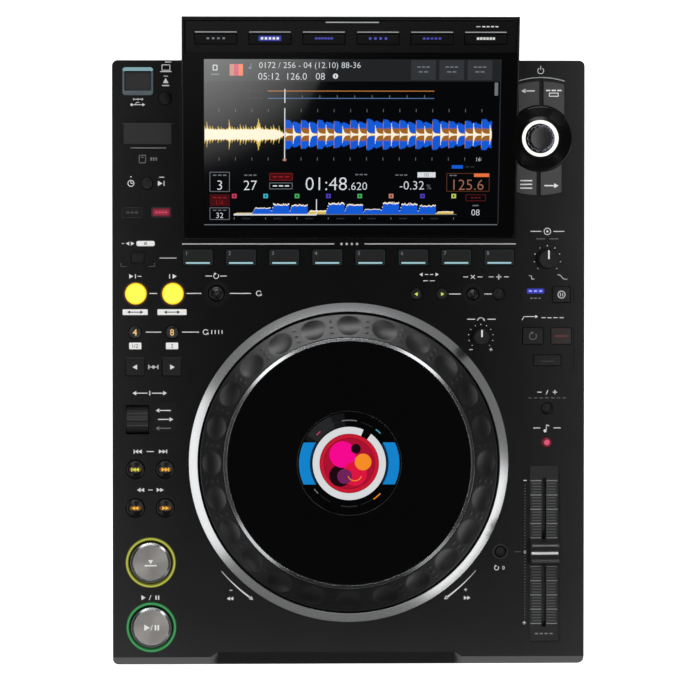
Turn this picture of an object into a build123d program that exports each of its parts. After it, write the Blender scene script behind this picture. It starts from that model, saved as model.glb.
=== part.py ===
from build123d import *
import os
from dataclasses import dataclass
from math import asin, cos, degrees, radians, sin

# A tabletop deck for mixing music from memory cards and sticks. All sizes are in millimetres.
# +Z is up, +Y runs to the rear, and the origin lies under the middle of the whole unit.

# Overall sizes
WIDTH = 329.0
DEPTH = 450.0
HEIGHT = 118.0
BODY_DEPTH = 421.5
BODY_CORNER = 4.0
LEFT = -WIDTH / 2
RIGHT = WIDTH / 2
FRONT = -DEPTH / 2
REAR = DEPTH / 2
BODY_REAR = FRONT + BODY_DEPTH
BODY_MID_Y = FRONT + BODY_DEPTH / 2

# Levels of the body
FOOT_HEIGHT = 7.0
SPLIT_Z = 24.0
PANEL_TOP = 68.0
PANEL_THICK = 3.0
PANEL_UNDER = PANEL_TOP - PANEL_THICK
CASE_WALL = 3.0
SHEET = 1.5
TRAY_INSET = 0.7
FLOOR_TOP = FOOT_HEIGHT + SHEET
WELL_DEPTH = 1.2

# Front bevel, deeper along the middle
BEVEL_DROP = 7.0
BEVEL_REACH = 5.6
GRIP_REACH = 9.0
GRIP_LEFT = LEFT + 73.0
GRIP_RIGHT = RIGHT - 90.5
GRIP_RAMP = 5.0
FRONT_RIB = 4.0

# Screw posts and feet
POST_INSET = 52.5
SIDE_POST_INSET = 56.5
SCREW_POINTS = [
    (LEFT + POST_INSET, FRONT + 10), (0, FRONT + 10), (RIGHT - POST_INSET, FRONT + 10),
    (LEFT + SIDE_POST_INSET, 20), (RIGHT - SIDE_POST_INSET, 20),
    (LEFT + POST_INSET, BODY_REAR - 10.5), (RIGHT - POST_INSET, BODY_REAR - 10.5),
]
POST_RADIUS = 3.5
SCREW_RADIUS = 1.4
SCREW_BITE = 10.0
SCREW_PLAY = 0.1
SCREW_HEAD_RADIUS = 3.0
SCREW_HEAD = 1.6
FOOT_RADIUS = 16.0
FOOT_EDGE = 1.5
FOOT_INSET = 38.0

# Keys: a cap that stands through the panel on a flange that stops under it
KEY_GAP = 0.35
FLANGE_LIP = 0.9
FLANGE_THICK = 1.5
STOP_GAP = 0.3
FLANGE_TOP = PANEL_UNDER - STOP_GAP
PAD_COUNT = 8
PAD_SIDE = 44.5
PAD_FIELD = WIDTH - 2 * PAD_SIDE
PAD_PITCH = PAD_FIELD / PAD_COUNT
PAD_Y = 59.5

# Boards under the panel
BOARD_THICK = 1.6
BOARD_TOP = 60.0
SWITCH_SIDE = 6.0
SWITCH_HEIGHT = 1.9
TRANSPORT_BOARD_TOP = 53.0
SPACER_RADIUS = 2.5

# Jog wheel
JOG_X = 0.0
JOG_Y = -83.5
COLUMN = 53.1
RIM_WIDTH = 6.5
RIM_OUTER = WIDTH / 2 - COLUMN
RIM_INNER = RIM_OUTER - RIM_WIDTH
RIM_LOW = 0.9
RIM_HIGH = 4.5
DIAL_GAP = 0.6
DIAL_SLOPE = 16.6
DIAL_RADIUS = RIM_INNER - DIAL_GAP
DIAL_EDGE_Z = 71.6
DIAL_TOP_Z = 78.3
DIAL_LIP = DIAL_RADIUS - DIAL_SLOPE
DIAL_WALL = 3.0
WEB_Z = 62.0
SHELF_DEPTH = 1.7
SHELF_WIDTH = 8.7
SHELF_INNER = DIAL_LIP - SHELF_WIDTH
CHROME_GAP = 0.2
CHROME_WIDTH = 2.4
CHROME_OUTER = DIAL_LIP - CHROME_GAP
CHROME_INNER = CHROME_OUTER - CHROME_WIDTH
CHROME_HEIGHT = 3.2
CHROME_EDGE = 0.6
PLATE_THICK = 2.6
PLATE_GAP = 0.1
HUB_RADIUS = 35.4
HUB_GAP = 0.6
HUB_BOTTOM = 67.0
HUB_GLASS = 1.5
POST_SHAFT = 12.0
POST_SHOULDER = 16.0
POST_FOOT = 30.0
POST_FOOT_THICK = 4.0
RUNNING_FIT = 0.05
DIMPLES = 24
DIMPLE_RADIUS = 17.0
DIMPLE_DEPTH = 1.6
DIMPLE_INSET = 8.7
DIMPLE_AT = DIAL_RADIUS - DIMPLE_INSET
DIMPLE_Z = (DIAL_EDGE_Z + (DIAL_RADIUS - DIMPLE_AT) / (DIAL_RADIUS - DIAL_LIP) * (DIAL_TOP_Z - DIAL_EDGE_Z)
            + DIMPLE_RADIUS - DIMPLE_DEPTH)

# Display unit, tilted up to the rear
DISPLAY_SIDE = 48.5
DISPLAY_WIDTH = WIDTH - 2 * DISPLAY_SIDE
DISPLAY_LENGTH = 157.1
DISPLAY_FRONT_Z = 78.0
DISPLAY_CORNER = 2.0
DISPLAY_WALL = 2.5
BEZEL_THICK = 4.0
LIP_RADIUS = 3.0
GLASS_THICK = 1.5
GLASS_FRONT = 2.6
GLASS_EDGE = 1.5
GLASS_WIDTH = DISPLAY_WIDTH - 2 * GLASS_EDGE
SCREEN_SIDE = 13.0
SCREEN_WIDTH = GLASS_WIDTH - 2 * SCREEN_SIDE
SCREEN_FRONT = 11.2
SCREEN_THICK = 6.0
SEAT_GAP = 0.1
MENU_KEYS = 6
MENU_SIDE = 5.0
MENU_GAP = 8.0
MENU_BACK = 18.6
MENU_SEAM = 5.9
SCREEN_ENDS = 13.2
MENU_PITCH = (DISPLAY_WIDTH - 2 * MENU_SIDE) / MENU_KEYS
MENU_WIDTH = MENU_PITCH - MENU_GAP
MENU_LENGTH = 7.0
MENU_FRONT = DISPLAY_LENGTH - MENU_BACK
GLASS_LENGTH = MENU_FRONT - MENU_SEAM - GLASS_FRONT
SCREEN_LENGTH = GLASS_LENGTH - SCREEN_ENDS
MENU_RISE = 1.0
NECK_REAR = 186.0
NECK_TOP = 84.0
DISPLAY_BACK = 18.0
NOTCH_GAP = 0.8
TILT = degrees(asin((HEIGHT - DISPLAY_FRONT_Z) / DISPLAY_LENGTH))
DISPLAY_FRONT_Y = REAR - DISPLAY_LENGTH * cos(radians(TILT)) - BEZEL_THICK * sin(radians(TILT))
SLOPE = Plane(
    origin=(0, DISPLAY_FRONT_Y, DISPLAY_FRONT_Z),
    x_dir=(1, 0, 0),
    z_dir=(0, -sin(radians(TILT)), cos(radians(TILT))),
)

# Browse selector and the four keys round it
SELECTOR_X = RIGHT - 31.3
SELECTOR_Y = 142.3
SKIRT_RADIUS = 22.6
SKIRT_RISE = 2.2
SKIRT_TOP = 5.6
SKIRT_INNER = 12.8
GLOW_OUTER = 12.7
GLOW_INNER = 10.4
GLOW_RISE = 6.6
SELECTOR_KNOB_RADIUS = 9.3
SELECTOR_KNOB_BOTTOM = 70.5
SELECTOR_KNOB_TOP = 82.5
SELECTOR_FLUTES = 14
FLUTE_RADIUS = 1.1
BROWSE_HALF_WIDTH = 16.2
BROWSE_SPLIT = 2.2
BROWSE_REACH = 39.8
BROWSE_ARC = 62.0
BROWSE_RISE = 2.0
BROWSE_SHIFT = 0.9
BROWSE_EDGE = 0.5
BROWSE_LIP = 0.7
BROWSE_SWITCHES = [(SELECTOR_X + dx, SELECTOR_Y + dy) for dx in (-9, 9) for dy in (-31, 31)]

# Shafts of knobs
SHAFT_RADIUS = 3.0
SHAFT_BOTTOM = 61.5
BUSH_RADIUS = 4.5
BUSH_TOP = 67.5
BUSH_HOLE_GAP = 0.3
POT_SIDE = 13.0
ENCODER_BUSH_TOP = 69.4
SHAFT_TOP = 80.0

# Tempo slider
SLIDER_X = RIGHT - 28.0
SLIDER_Y = -146.5
SLIDER_WELL = (22.3, 124.8)
SLIDER_WELL_Y = -147.2
SLIDER_WELL_DEPTH = 1.5
SCALE_PLATE = (19.4, 122.4)
SCALE_PLATE_THICK = 1.2
SLIDER_TRAVEL = 100.0
SLOT_WIDTH = 3.2
TANG_WIDTH = 2.6
TANG_LENGTH = 4.2
SLOT_PLAY = 0.4
TRACK_BODY = (14.0, 122.0)
TRACK_BOTTOM = 54.0
TANG_BOTTOM = 56.5
CAP_SIZE = (19.5, 18.6)
CAP_BOTTOM = 68.8
CAP_SHOULDER = 74.0
CAP_TOP = 82.0
CAP_CREST = 6.5
CAP_FLAT = 2.0
CAP_VALLEY = 77.5
SLOT_LENGTH = SLIDER_TRAVEL + TANG_LENGTH + 2 * SLOT_PLAY

# Direction lever: a drum on a pin under the panel
LEVER_X = LEFT + 17.4
LEVER_Y = -53.4
LEVER_WIDTH = 15.2
LEVER_DRUM = 9.5
LEVER_AXIS_Z = 63.5
LEVER_RIB = 0.9
LEVER_RIB_ANGLES = (-26.0, 0.0, 26.0)
LEVER_RIB_WIDTH = 1.6
LEVER_APERTURE = (16.0, 20.2)
LEVER_PIN = 1.5
LEVER_EAR = 2.0
LEVER_EAR_LENGTH = 8.0
LEVER_EAR_DROP = 4.0
LEVER_SIDE_GAP = 0.3

# Doors over the card and stick sockets
CARD_X = LEFT + 24.6
CARD_Y = 145.8
CARD_DOOR = (33.4, 15.0)
STICK_X = LEFT + 18.0
STICK_Y = 182.2
STICK_DOOR = (18.0, 13.1)
DOOR_THICK = 1.6
DOOR_GAP = 0.3
DOOR_PIN = 0.8
DOOR_PIN_LENGTH = 1.2
CARD_DOOR_Z = 66.2
STICK_DOOR_Z = 66.0
POCKET_WALL = 2.0
CARD_POCKET_BOTTOM = 50.0
STICK_POCKET_BOTTOM = 54.0
READER_HEIGHT = 6.0
CARD_SLOT = (24.6, 2.6)
STICK_SLOT = (12.6, 5.0)
STICK_FRAME = (21.3, 19.4)
STICK_FRAME_Y = 181.8
STICK_FRAME_BASE = 67.0
STICK_FRAME_TOP = 69.3

# Transport buttons and their lit rings
CUE_AT = (LEFT + 26.4, -153.1)
PLAY_AT = (LEFT + 26.8, -198.3)
RING_OUTER = 17.6
RING_INNER = 15.3
RING_RISE = 1.2
RING_DEPTH = 3.0
RING_LIP = 1.9
TRANSPORT_RADIUS = 14.2
TRANSPORT_RISE = 3.4
TRANSPORT_EDGE = 1.0
TRANSPORT_SWITCH = 5.5

POWER_BUTTON_RADIUS = 5.0
POWER_BUTTON_LENGTH = 9.0
POWER_BUTTON_RISE = 2.0

# Sockets in the rear wall
SOCKET_Z = 44.0
POWER_INLET_X = RIGHT - 28.5
POWER_BUTTON_X = RIGHT - 68.5
PHONO_X = (-30.0, -50.0, -80.0)
NETWORK_X = 20.0
COMPUTER_X = 48.0
PHONO_RADIUS = 4.15
PHONO_LENGTH = 9.0
PHONO_BORE = 1.6
PHONO_BASE = 6.5
INLET_SIZE = (27.0, 20.0)
INLET_CAVITY = (22.0, 14.5)
NETWORK_SIZE = (16.0, 13.5)
NETWORK_CAVITY = (12.0, 8.5)
COMPUTER_SIZE = (12.0, 11.0)
COMPUTER_CAVITY = (8.4, 7.6)
SOCKET_BODY = 22.0
SOCKET_FLOOR = 4.0
INLET_PINS = [(-7, 2), (0, -2), (7, 2)]
INLET_PIN_LENGTH = 12.0


@dataclass
class Key:
    """A cap's place, plan size (length 0 is round), rise over the panel and edge radius."""

    x: float
    y: float
    width: float
    length: float = 0.0
    rise: float = 1.6
    edge: float = 0.5
    corner: float = 1.2
    board: bool = True


KEYS = {
    "in_button": Key(LEFT + 16.3, 34.3, 15.0, rise=2.2, edge=1.4),
    "out_button": Key(LEFT + 42.1, 34.3, 15.0, rise=2.2, edge=1.4),
    "reloop_button": Key(LEFT + 72.4, 34.6, 11.0, rise=3.4, edge=2.2),
    "loop_four_button": Key(LEFT + 15.7, 7.5, 9.3, rise=1.8, edge=1.0),
    "loop_eight_button": Key(LEFT + 41.5, 7.5, 9.3, rise=1.8, edge=1.0),
    "jump_back_button": Key(LEFT + 15.9, -16.7, 13.2, 12.2),
    "jump_forward_button": Key(LEFT + 41.4, -16.7, 13.2, 12.2),
    "track_back_button": Key(LEFT + 15.9, -88.0, 12.8, rise=3.0, edge=1.6),
    "track_forward_button": Key(LEFT + 36.6, -88.0, 12.8, rise=3.0, edge=1.6),
    "search_back_button": Key(LEFT + 15.9, -114.9, 12.8, rise=3.0, edge=1.6),
    "search_forward_button": Key(LEFT + 36.6, -114.9, 12.8, rise=3.0, edge=1.6),
    "jog_mode_button": Key(RIGHT - 16.0, 33.5, 12.6, 10.9, rise=0.8),
    "sync_button": Key(RIGHT - 35.9, 4.6, 14.2, 11.5, rise=0.8),
    "master_button": Key(RIGHT - 16.1, 4.6, 14.2, 11.5, rise=0.8),
    "key_sync_button": Key(RIGHT - 25.8, -12.4, 19.1, 7.5, rise=0.8),
    "call_back_button": Key(RIGHT - 117.4, 34.0, 8.1, rise=1.8, edge=1.0),
    "call_forward_button": Key(RIGHT - 99.3, 34.0, 8.1, rise=1.8, edge=1.0),
    "delete_button": Key(RIGHT - 77.9, 34.0, 8.4, rise=3.0, edge=2.0),
    "memory_button": Key(RIGHT - 59.9, 34.0, 8.4, rise=2.0, edge=1.2),
    "tempo_range_button": Key(RIGHT - 25.9, -46.0, 8.0, rise=2.0, edge=1.2),
    "master_tempo_button": Key(RIGHT - 26.1, -69.7, 7.0, rise=1.8, edge=1.0),
}
for pad in range(PAD_COUNT):
    pad_x = (pad - (PAD_COUNT - 1) / 2) * PAD_PITCH
    KEYS[f"cue_pad_{pad + 1}"] = Key(pad_x, PAD_Y, 20.9, 11.4, rise=1.4)

# Small keys that share one node
SMALL_KEYS = [
    Key(LEFT + 36.8, 170.0, 9.0, rise=1.0, board=False),
    Key(LEFT + 24.2, 111.0, 8.6, rise=2.0, edge=1.2),
    Key(LEFT + 13.9, 90.8, 12.4, 5.5, rise=0.6, edge=0.3, corner=0.6),
    Key(LEFT + 34.1, 90.9, 12.4, 5.5, rise=0.6, edge=0.3, corner=0.6),
    Key(LEFT + 17.8, 59.2, 8.6, 6.8, rise=0.8, edge=0.3, corner=0.8),
    Key(RIGHT - 58.4, -146.1, 7.0, rise=2.0, edge=1.2, board=False),
]

# Shallow wells in the panel: x, y, width, length, corner
WELLS = [
    (LEFT + 25.2, 145.4, 37.8, 22.1, 1.5),
    (LEFT + 17.7, 59.2, 22.4, 11.5, 1.5),
    (RIGHT - 25.8, 33.8, 37.4, 12.8, 1.2),
    (RIGHT - 26.1, -3.6, 38.1, 33.2, 1.5),
    (LEFT + 26.8, -51.6, 38.4, 22.8, 1.5),
]

# Knobs: x, y, skirt radius, top radius, height
KNOBS = {
    "vinyl_speed_knob": (RIGHT - 25.9, 58.3, 7.2, 6.4, 13.0),
    "jog_adjust_knob": (RIGHT - 72.3, 4.2, 5.9, 5.2, 12.0),
}
KNOB_LIFT = 0.6
KNOB_SKIRT = 3.0
KNOB_EDGE = 0.8

# Raised trims that lie on the panel
SEARCH_TRIMS = [(LEFT + 26.5, -87.6), (LEFT + 26.5, -114.6)]
SEARCH_TRIM = (35.7, 18.8)
SEARCH_BUTTONS = ["track_back_button", "track_forward_button", "search_back_button",
                  "search_forward_button"]
TRIM_THICK = 0.8
RING_TRIMS = [("reloop_button", 8.9), ("delete_button", 7.5)]
TRIM_GAP = 0.5
MODE_WINDOW = (RIGHT - 34.1, 33.8, 19.0, 11.0)
LEVER_LABEL = (LEFT + 36.5, -51.6, 17.6, 21.0)
PLATE_FILL = 0.9


# Pockets under the doors: x, y, door size, bottom; and the doors' pin lines: x, y, door size, z
POCKETS = [
    (CARD_X, CARD_Y, CARD_DOOR, CARD_POCKET_BOTTOM),
    (STICK_X, STICK_Y, STICK_DOOR, STICK_POCKET_BOTTOM),
]
DOOR_PINS = [
    (CARD_X, CARD_Y, CARD_DOOR, CARD_DOOR_Z),
    (STICK_X, STICK_Y, STICK_DOOR, STICK_DOOR_Z),
]

# Boards that hang from the panel: x, y, width, length, top, spacers
PANEL_BOARDS = [
    (LEFT + 28.5, 42.5, 44.0, 159.0, BOARD_TOP, [(LEFT + dx, y) for dx in (10.5, 46.5) for y in (-33, 118)]),
    (LEFT + 28.5, -99.0, 44.0, 58.0, BOARD_TOP, [(LEFT + dx, y) for dx in (10.5, 46.5) for y in (-74, -124)]),
    (RIGHT - 27.5, 56.0, 42.0, 268.0, BOARD_TOP, [(RIGHT - dx, y) for dx in (44.5, 10.5) for y in (-74, 186)]),
    (0.0, 48.0, WIDTH - 109.0, 44.0, BOARD_TOP, [(x, 46) for x in (-75, 0, 75)]),
    (LEFT + 26.5, -176.0, 42.0, 88.0, TRANSPORT_BOARD_TOP, [(LEFT + dx, -176) for dx in (9.5, 43.5)]),
]

# Boards on the floor: x, y, width, length
FLOOR_BOARDS = [(60.0, 118.0, 150.0, 104.0), (-100.0, 116.0, 80.0, 126.0)]
STANDOFF = 6.0
STANDOFF_RADIUS = 3.0
STANDOFF_INSET = 5.0
CHIPS = [(40, 120, 24, 24, 3), (80, 120, 18, 18, 3), (62, 92, 14, 20, 2.4), (100, 140, 20, 12, 2.4)]
COIL = (-100, 130, 40, 36, 26)
CANS = [(-124, 90, 8, 24), (-104, 90, 8, 24), (-82, 92, 6, 18)]


def save(piece, name):
    """Labels a finished piece and writes its STEP file."""
    piece.part.label = name
    export_step(piece.part, f"parts/{name}.step")


def save_group(name, *pieces):
    """Writes pieces that touch as separate solids of one node."""
    group = Compound(label=name, children=[piece.part for piece in pieces])
    export_step(group, f"parts/{name}.step")


def key_outline(key, grow=0.0):
    """A key's outline in the open sketch, larger by grow all round."""
    with Locations((key.x, key.y)):
        if key.length:
            RectangleRounded(key.width + 2 * grow, key.length + 2 * grow, key.corner + grow)
        else:
            Circle(key.width / 2 + grow)


def browse_outline(side, row):
    """One of the four keys round the selector: side -1 is left, row 1 is the rear pair."""
    middle = SELECTOR_X + row * BROWSE_SHIFT
    half = BROWSE_HALF_WIDTH - BROWSE_SPLIT / 2
    with Locations((middle + side * (BROWSE_SPLIT / 2 + half / 2), SELECTOR_Y + row * BROWSE_REACH / 2)):
        Rectangle(half, BROWSE_REACH)
    with Locations((middle, SELECTOR_Y + row * (BROWSE_REACH - BROWSE_ARC))):
        Circle(BROWSE_ARC, mode=Mode.INTERSECT)
    with Locations((SELECTOR_X, SELECTOR_Y)):
        Circle(SKIRT_RADIUS + KEY_GAP, mode=Mode.SUBTRACT)


def tray_rectangle(inset):
    """The body's plan in the open sketch, smaller by inset all round."""
    with Locations((0, BODY_MID_Y)):
        RectangleRounded(WIDTH - 2 * inset, BODY_DEPTH - 2 * inset, max(BODY_CORNER - inset, 0.5))


def make_bottom_case():
    with BuildPart() as tray:
        with BuildSketch(Plane.XY.offset(FOOT_HEIGHT)):
            tray_rectangle(TRAY_INSET)
        extrude(amount=SPLIT_Z - FOOT_HEIGHT)
        with BuildSketch(Plane.XY.offset(FLOOR_TOP)):
            tray_rectangle(TRAY_INSET + SHEET)
        extrude(amount=SPLIT_Z - FLOOR_TOP, mode=Mode.SUBTRACT)
        with Locations([(x, y, FOOT_HEIGHT) for x, y in SCREW_POINTS]):
            Cylinder(SCREW_RADIUS + SCREW_PLAY, SHEET, align=(Align.CENTER, Align.CENTER, Align.MIN),
                     mode=Mode.SUBTRACT)
    save(tray, "bottom_case")


def make_feet():
    with BuildPart() as feet:
        with BuildSketch():
            with Locations((0, BODY_MID_Y)):
                with GridLocations(WIDTH - 2 * FOOT_INSET, BODY_DEPTH - 2 * FOOT_INSET, 2, 2):
                    Circle(FOOT_RADIUS)
        extrude(amount=FOOT_HEIGHT)
        chamfer(feet.faces().group_by(Axis.Z)[0].edges(), FOOT_EDGE)
    save(feet, "feet")


def make_screws():
    with BuildPart() as screws:
        with Locations([(x, y, FOOT_HEIGHT - SCREW_HEAD) for x, y in SCREW_POINTS]):
            Cylinder(SCREW_HEAD_RADIUS, SCREW_HEAD, align=(Align.CENTER, Align.CENTER, Align.MIN))
        with Locations([(x, y, FOOT_HEIGHT) for x, y in SCREW_POINTS]):
            Cylinder(SCREW_RADIUS, SHEET + SCREW_BITE, align=(Align.CENTER, Align.CENTER, Align.MIN))
    save(screws, "screws")


def bevel_profile(reach):
    """The front bevel's section in the open sketch on a plane across the unit."""
    with BuildLine() as outline:
        Polyline((FRONT - 1, PANEL_TOP + 1), (FRONT + reach + reach / BEVEL_DROP, PANEL_TOP + 1),
                 (FRONT, PANEL_TOP - BEVEL_DROP), (FRONT - 1, PANEL_TOP - BEVEL_DROP), close=True)
    make_face(outline.edges())


def make_top_case():
    with BuildPart() as case:
        with BuildSketch(Plane.XY.offset(SPLIT_Z)):
            tray_rectangle(0)
        extrude(amount=PANEL_TOP - SPLIT_Z)
        with BuildSketch(Plane.XY.offset(SPLIT_Z)):
            tray_rectangle(CASE_WALL)
        extrude(amount=PANEL_UNDER - SPLIT_Z, mode=Mode.SUBTRACT)
        # a rib inside the front corner keeps the wall's thickness behind the bevel
        with BuildSketch(Plane.YZ.offset(-WIDTH / 2 + CASE_WALL)):
            with BuildLine():
                Polyline((FRONT + CASE_WALL, PANEL_UNDER - FRONT_RIB), (FRONT + CASE_WALL, PANEL_UNDER),
                         (FRONT + CASE_WALL + FRONT_RIB, PANEL_UNDER), close=True)
            make_face()
        extrude(amount=WIDTH - 2 * CASE_WALL)
        # bevel along the front, with ramps into the deeper middle
        with BuildSketch(Plane.YZ.offset(-WIDTH)):
            bevel_profile(BEVEL_REACH)
        extrude(amount=2 * WIDTH, mode=Mode.SUBTRACT)
        for x, reach in ((GRIP_LEFT - GRIP_RAMP, BEVEL_REACH), (GRIP_LEFT, GRIP_REACH),
                         (GRIP_RIGHT, GRIP_REACH), (GRIP_RIGHT + GRIP_RAMP, BEVEL_REACH)):
            with BuildSketch(Plane.YZ.offset(x)):
                bevel_profile(reach)
        loft(ruled=True, mode=Mode.SUBTRACT)
        # posts that the screws bite into, and spacers that carry the boards
        with BuildSketch(Plane.XY.offset(FLOOR_TOP)):
            with Locations(SCREW_POINTS):
                Circle(POST_RADIUS)
        extrude(amount=PANEL_UNDER - FLOOR_TOP)
        for *_, top, spacers in PANEL_BOARDS:
            with BuildSketch(Plane.XY.offset(top)):
                with Locations(spacers):
                    Circle(SPACER_RADIUS)
            extrude(amount=PANEL_UNDER - top)
        # ears for the lever's pin
        with BuildSketch(Plane.XY.offset(LEVER_AXIS_Z - LEVER_EAR_DROP)):
            with Locations((LEVER_X, LEVER_Y)):
                with GridLocations(LEVER_WIDTH + 2 * LEVER_SIDE_GAP + LEVER_EAR, 0, 2, 1):
                    Rectangle(LEVER_EAR, LEVER_EAR_LENGTH)
        extrude(amount=PANEL_UNDER - LEVER_AXIS_Z + LEVER_EAR_DROP)
        with Locations(Location((LEVER_X, LEVER_Y, LEVER_AXIS_Z), (0, 90, 0))):
            Cylinder(LEVER_PIN + RUNNING_FIT, LEVER_WIDTH + 4 * LEVER_EAR, mode=Mode.SUBTRACT)
        # pockets under the two doors
        for x, y, door, bottom in POCKETS:
            with BuildSketch(Plane.XY.offset(bottom)):
                with Locations((x, y)):
                    Rectangle(door[0] + 2 * (DOOR_GAP + POCKET_WALL), door[1] + 2 * (DOOR_GAP + POCKET_WALL))
            extrude(amount=PANEL_UNDER - bottom)
        for x, y, door, bottom in POCKETS:
            with BuildSketch(Plane.XY.offset(bottom)):
                with Locations((x, y)):
                    Rectangle(door[0] + 2 * DOOR_GAP, door[1] + 2 * DOOR_GAP)
            extrude(amount=PANEL_TOP - bottom, mode=Mode.SUBTRACT)
        for x, y, door, z in DOOR_PINS:
            with Locations(Location((x, y + door[1] / 2 - DOOR_THICK / 2, z), (0, 90, 0))):
                Cylinder(DOOR_PIN + RUNNING_FIT, door[0] + 2 * (DOOR_PIN_LENGTH + DOOR_GAP),
                         mode=Mode.SUBTRACT)
        # the screws' blind holes
        with Locations([(x, y, FLOOR_TOP) for x, y in SCREW_POINTS]):
            Cylinder(SCREW_RADIUS + SCREW_PLAY, SCREW_BITE + 1,
                     align=(Align.CENTER, Align.CENTER, Align.MIN), mode=Mode.SUBTRACT)
        # wells and seats in the panel's face
        with BuildSketch(Plane.XY.offset(PANEL_TOP - WELL_DEPTH)):
            for x, y, width, length, corner in WELLS:
                with Locations((x, y)):
                    RectangleRounded(width, length, corner)
        extrude(amount=WELL_DEPTH, mode=Mode.SUBTRACT)
        with BuildSketch(Plane.XY.offset(PANEL_TOP - SLIDER_WELL_DEPTH)):
            with Locations((SLIDER_X, SLIDER_WELL_Y)):
                RectangleRounded(*SLIDER_WELL, 1.5)
        extrude(amount=SLIDER_WELL_DEPTH, mode=Mode.SUBTRACT)
        with BuildSketch(Plane.XY.offset(STICK_FRAME_BASE)):
            with Locations((STICK_X, STICK_FRAME_Y)):
                RectangleRounded(STICK_FRAME[0] + 2 * SEAT_GAP, STICK_FRAME[1] + 2 * SEAT_GAP, 2)
        extrude(amount=PANEL_TOP - STICK_FRAME_BASE, mode=Mode.SUBTRACT)
        # holes for the keys, knobs, slider, lever and jog wheel
        with BuildSketch(Plane.XY.offset(PANEL_UNDER)):
            for key in list(KEYS.values()) + SMALL_KEYS:
                key_outline(key, KEY_GAP)
            for x, y, *_ in KNOBS.values():
                with Locations((x, y)):
                    Circle(BUSH_RADIUS + BUSH_HOLE_GAP)
            with Locations((SELECTOR_X, SELECTOR_Y)):
                Circle(BUSH_RADIUS + BUSH_HOLE_GAP)
            with Locations((SLIDER_X, SLIDER_Y)):
                Rectangle(SLOT_WIDTH, SLOT_LENGTH)
            with Locations((LEVER_X, LEVER_Y)):
                Rectangle(*LEVER_APERTURE)
            with Locations(CUE_AT, PLAY_AT):
                Circle(RING_OUTER + SEAT_GAP)
            with Locations((JOG_X, JOG_Y)):
                Circle(RIM_INNER)
        extrude(amount=PANEL_THICK, mode=Mode.SUBTRACT)
        for side in (-1, 1):
            for row in (-1, 1):
                with BuildSketch(Plane.XY.offset(PANEL_UNDER)):
                    browse_outline(side, row)
                    offset(amount=KEY_GAP)
                extrude(amount=PANEL_THICK, mode=Mode.SUBTRACT)
        # rear wall
        with BuildSketch(Plane.XZ.offset(-BODY_REAR - 1)):
            for x, size in ((POWER_INLET_X, INLET_SIZE), (NETWORK_X, NETWORK_SIZE),
                            (COMPUTER_X, COMPUTER_SIZE)):
                with Locations((x, SOCKET_Z)):
                    Rectangle(size[0] + 2 * SEAT_GAP, size[1] + 2 * SEAT_GAP)
            with Locations([(x, SOCKET_Z) for x in PHONO_X]):
                Circle(PHONO_BASE + SEAT_GAP)
            with Locations((POWER_BUTTON_X, SOCKET_Z)):
                Circle(POWER_BUTTON_RADIUS + KEY_GAP)
        extrude(amount=CASE_WALL + 2, mode=Mode.SUBTRACT)
    save(case, "top_case")


def make_cap(name, key):
    """A key's cap and the flange that stops it under the panel."""
    with BuildPart() as cap:
        with BuildSketch(Plane.XY.offset(FLANGE_TOP)):
            key_outline(key)
        extrude(amount=PANEL_TOP + key.rise - FLANGE_TOP)
        fillet(cap.faces().sort_by(Axis.Z)[-1].edges(), key.edge)
        with BuildSketch(Plane.XY.offset(FLANGE_TOP - FLANGE_THICK)):
            key_outline(key, FLANGE_LIP)
        extrude(amount=FLANGE_THICK)
    save(cap, name)


def make_browse_key(name, side, row):
    with BuildPart() as cap:
        with BuildSketch(Plane.XY.offset(FLANGE_TOP)):
            browse_outline(side, row)
        extrude(amount=PANEL_TOP + BROWSE_RISE - FLANGE_TOP)
        chamfer(cap.faces().sort_by(Axis.Z)[-1].edges(), BROWSE_EDGE)
        with BuildSketch(Plane.XY.offset(FLANGE_TOP - FLANGE_THICK)):
            browse_outline(side, row)
            offset(amount=BROWSE_LIP)
        extrude(amount=FLANGE_THICK)
    save(cap, name)


def make_small_keys():
    """The keys that share one node, with the display's menu keys and the power button."""
    with BuildPart() as caps:
        for key in SMALL_KEYS:
            with BuildSketch(Plane.XY.offset(FLANGE_TOP)):
                key_outline(key)
            extrude(amount=PANEL_TOP + key.rise - FLANGE_TOP)
            with BuildSketch(Plane.XY.offset(FLANGE_TOP - FLANGE_THICK)):
                key_outline(key, FLANGE_LIP)
            extrude(amount=FLANGE_THICK)
        with BuildSketch(SLOPE.offset(-BEZEL_THICK - STOP_GAP)):
            with Locations((0, MENU_FRONT + MENU_LENGTH / 2)):
                with GridLocations(MENU_PITCH, 0, MENU_KEYS, 1):
                    Rectangle(MENU_WIDTH, MENU_LENGTH)
        extrude(amount=BEZEL_THICK + STOP_GAP + MENU_RISE)
        with BuildSketch(SLOPE.offset(-BEZEL_THICK - STOP_GAP)):
            with Locations((0, MENU_FRONT + MENU_LENGTH / 2)):
                with GridLocations(MENU_PITCH, 0, MENU_KEYS, 1):
                    Rectangle(MENU_WIDTH + 2 * FLANGE_LIP, MENU_LENGTH + 2 * FLANGE_LIP)
        extrude(amount=-FLANGE_THICK)
        with BuildSketch(Plane.XZ.offset(-BODY_REAR - POWER_BUTTON_RISE)):
            with Locations((POWER_BUTTON_X, SOCKET_Z)):
                Circle(POWER_BUTTON_RADIUS)
        extrude(amount=POWER_BUTTON_LENGTH)
        with BuildSketch(Plane.XZ.offset(-BODY_REAR + CASE_WALL + STOP_GAP)):
            with Locations((POWER_BUTTON_X, SOCKET_Z)):
                Circle(POWER_BUTTON_RADIUS + FLANGE_LIP)
        extrude(amount=FLANGE_THICK)
    save(caps, "small_keys")


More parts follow.
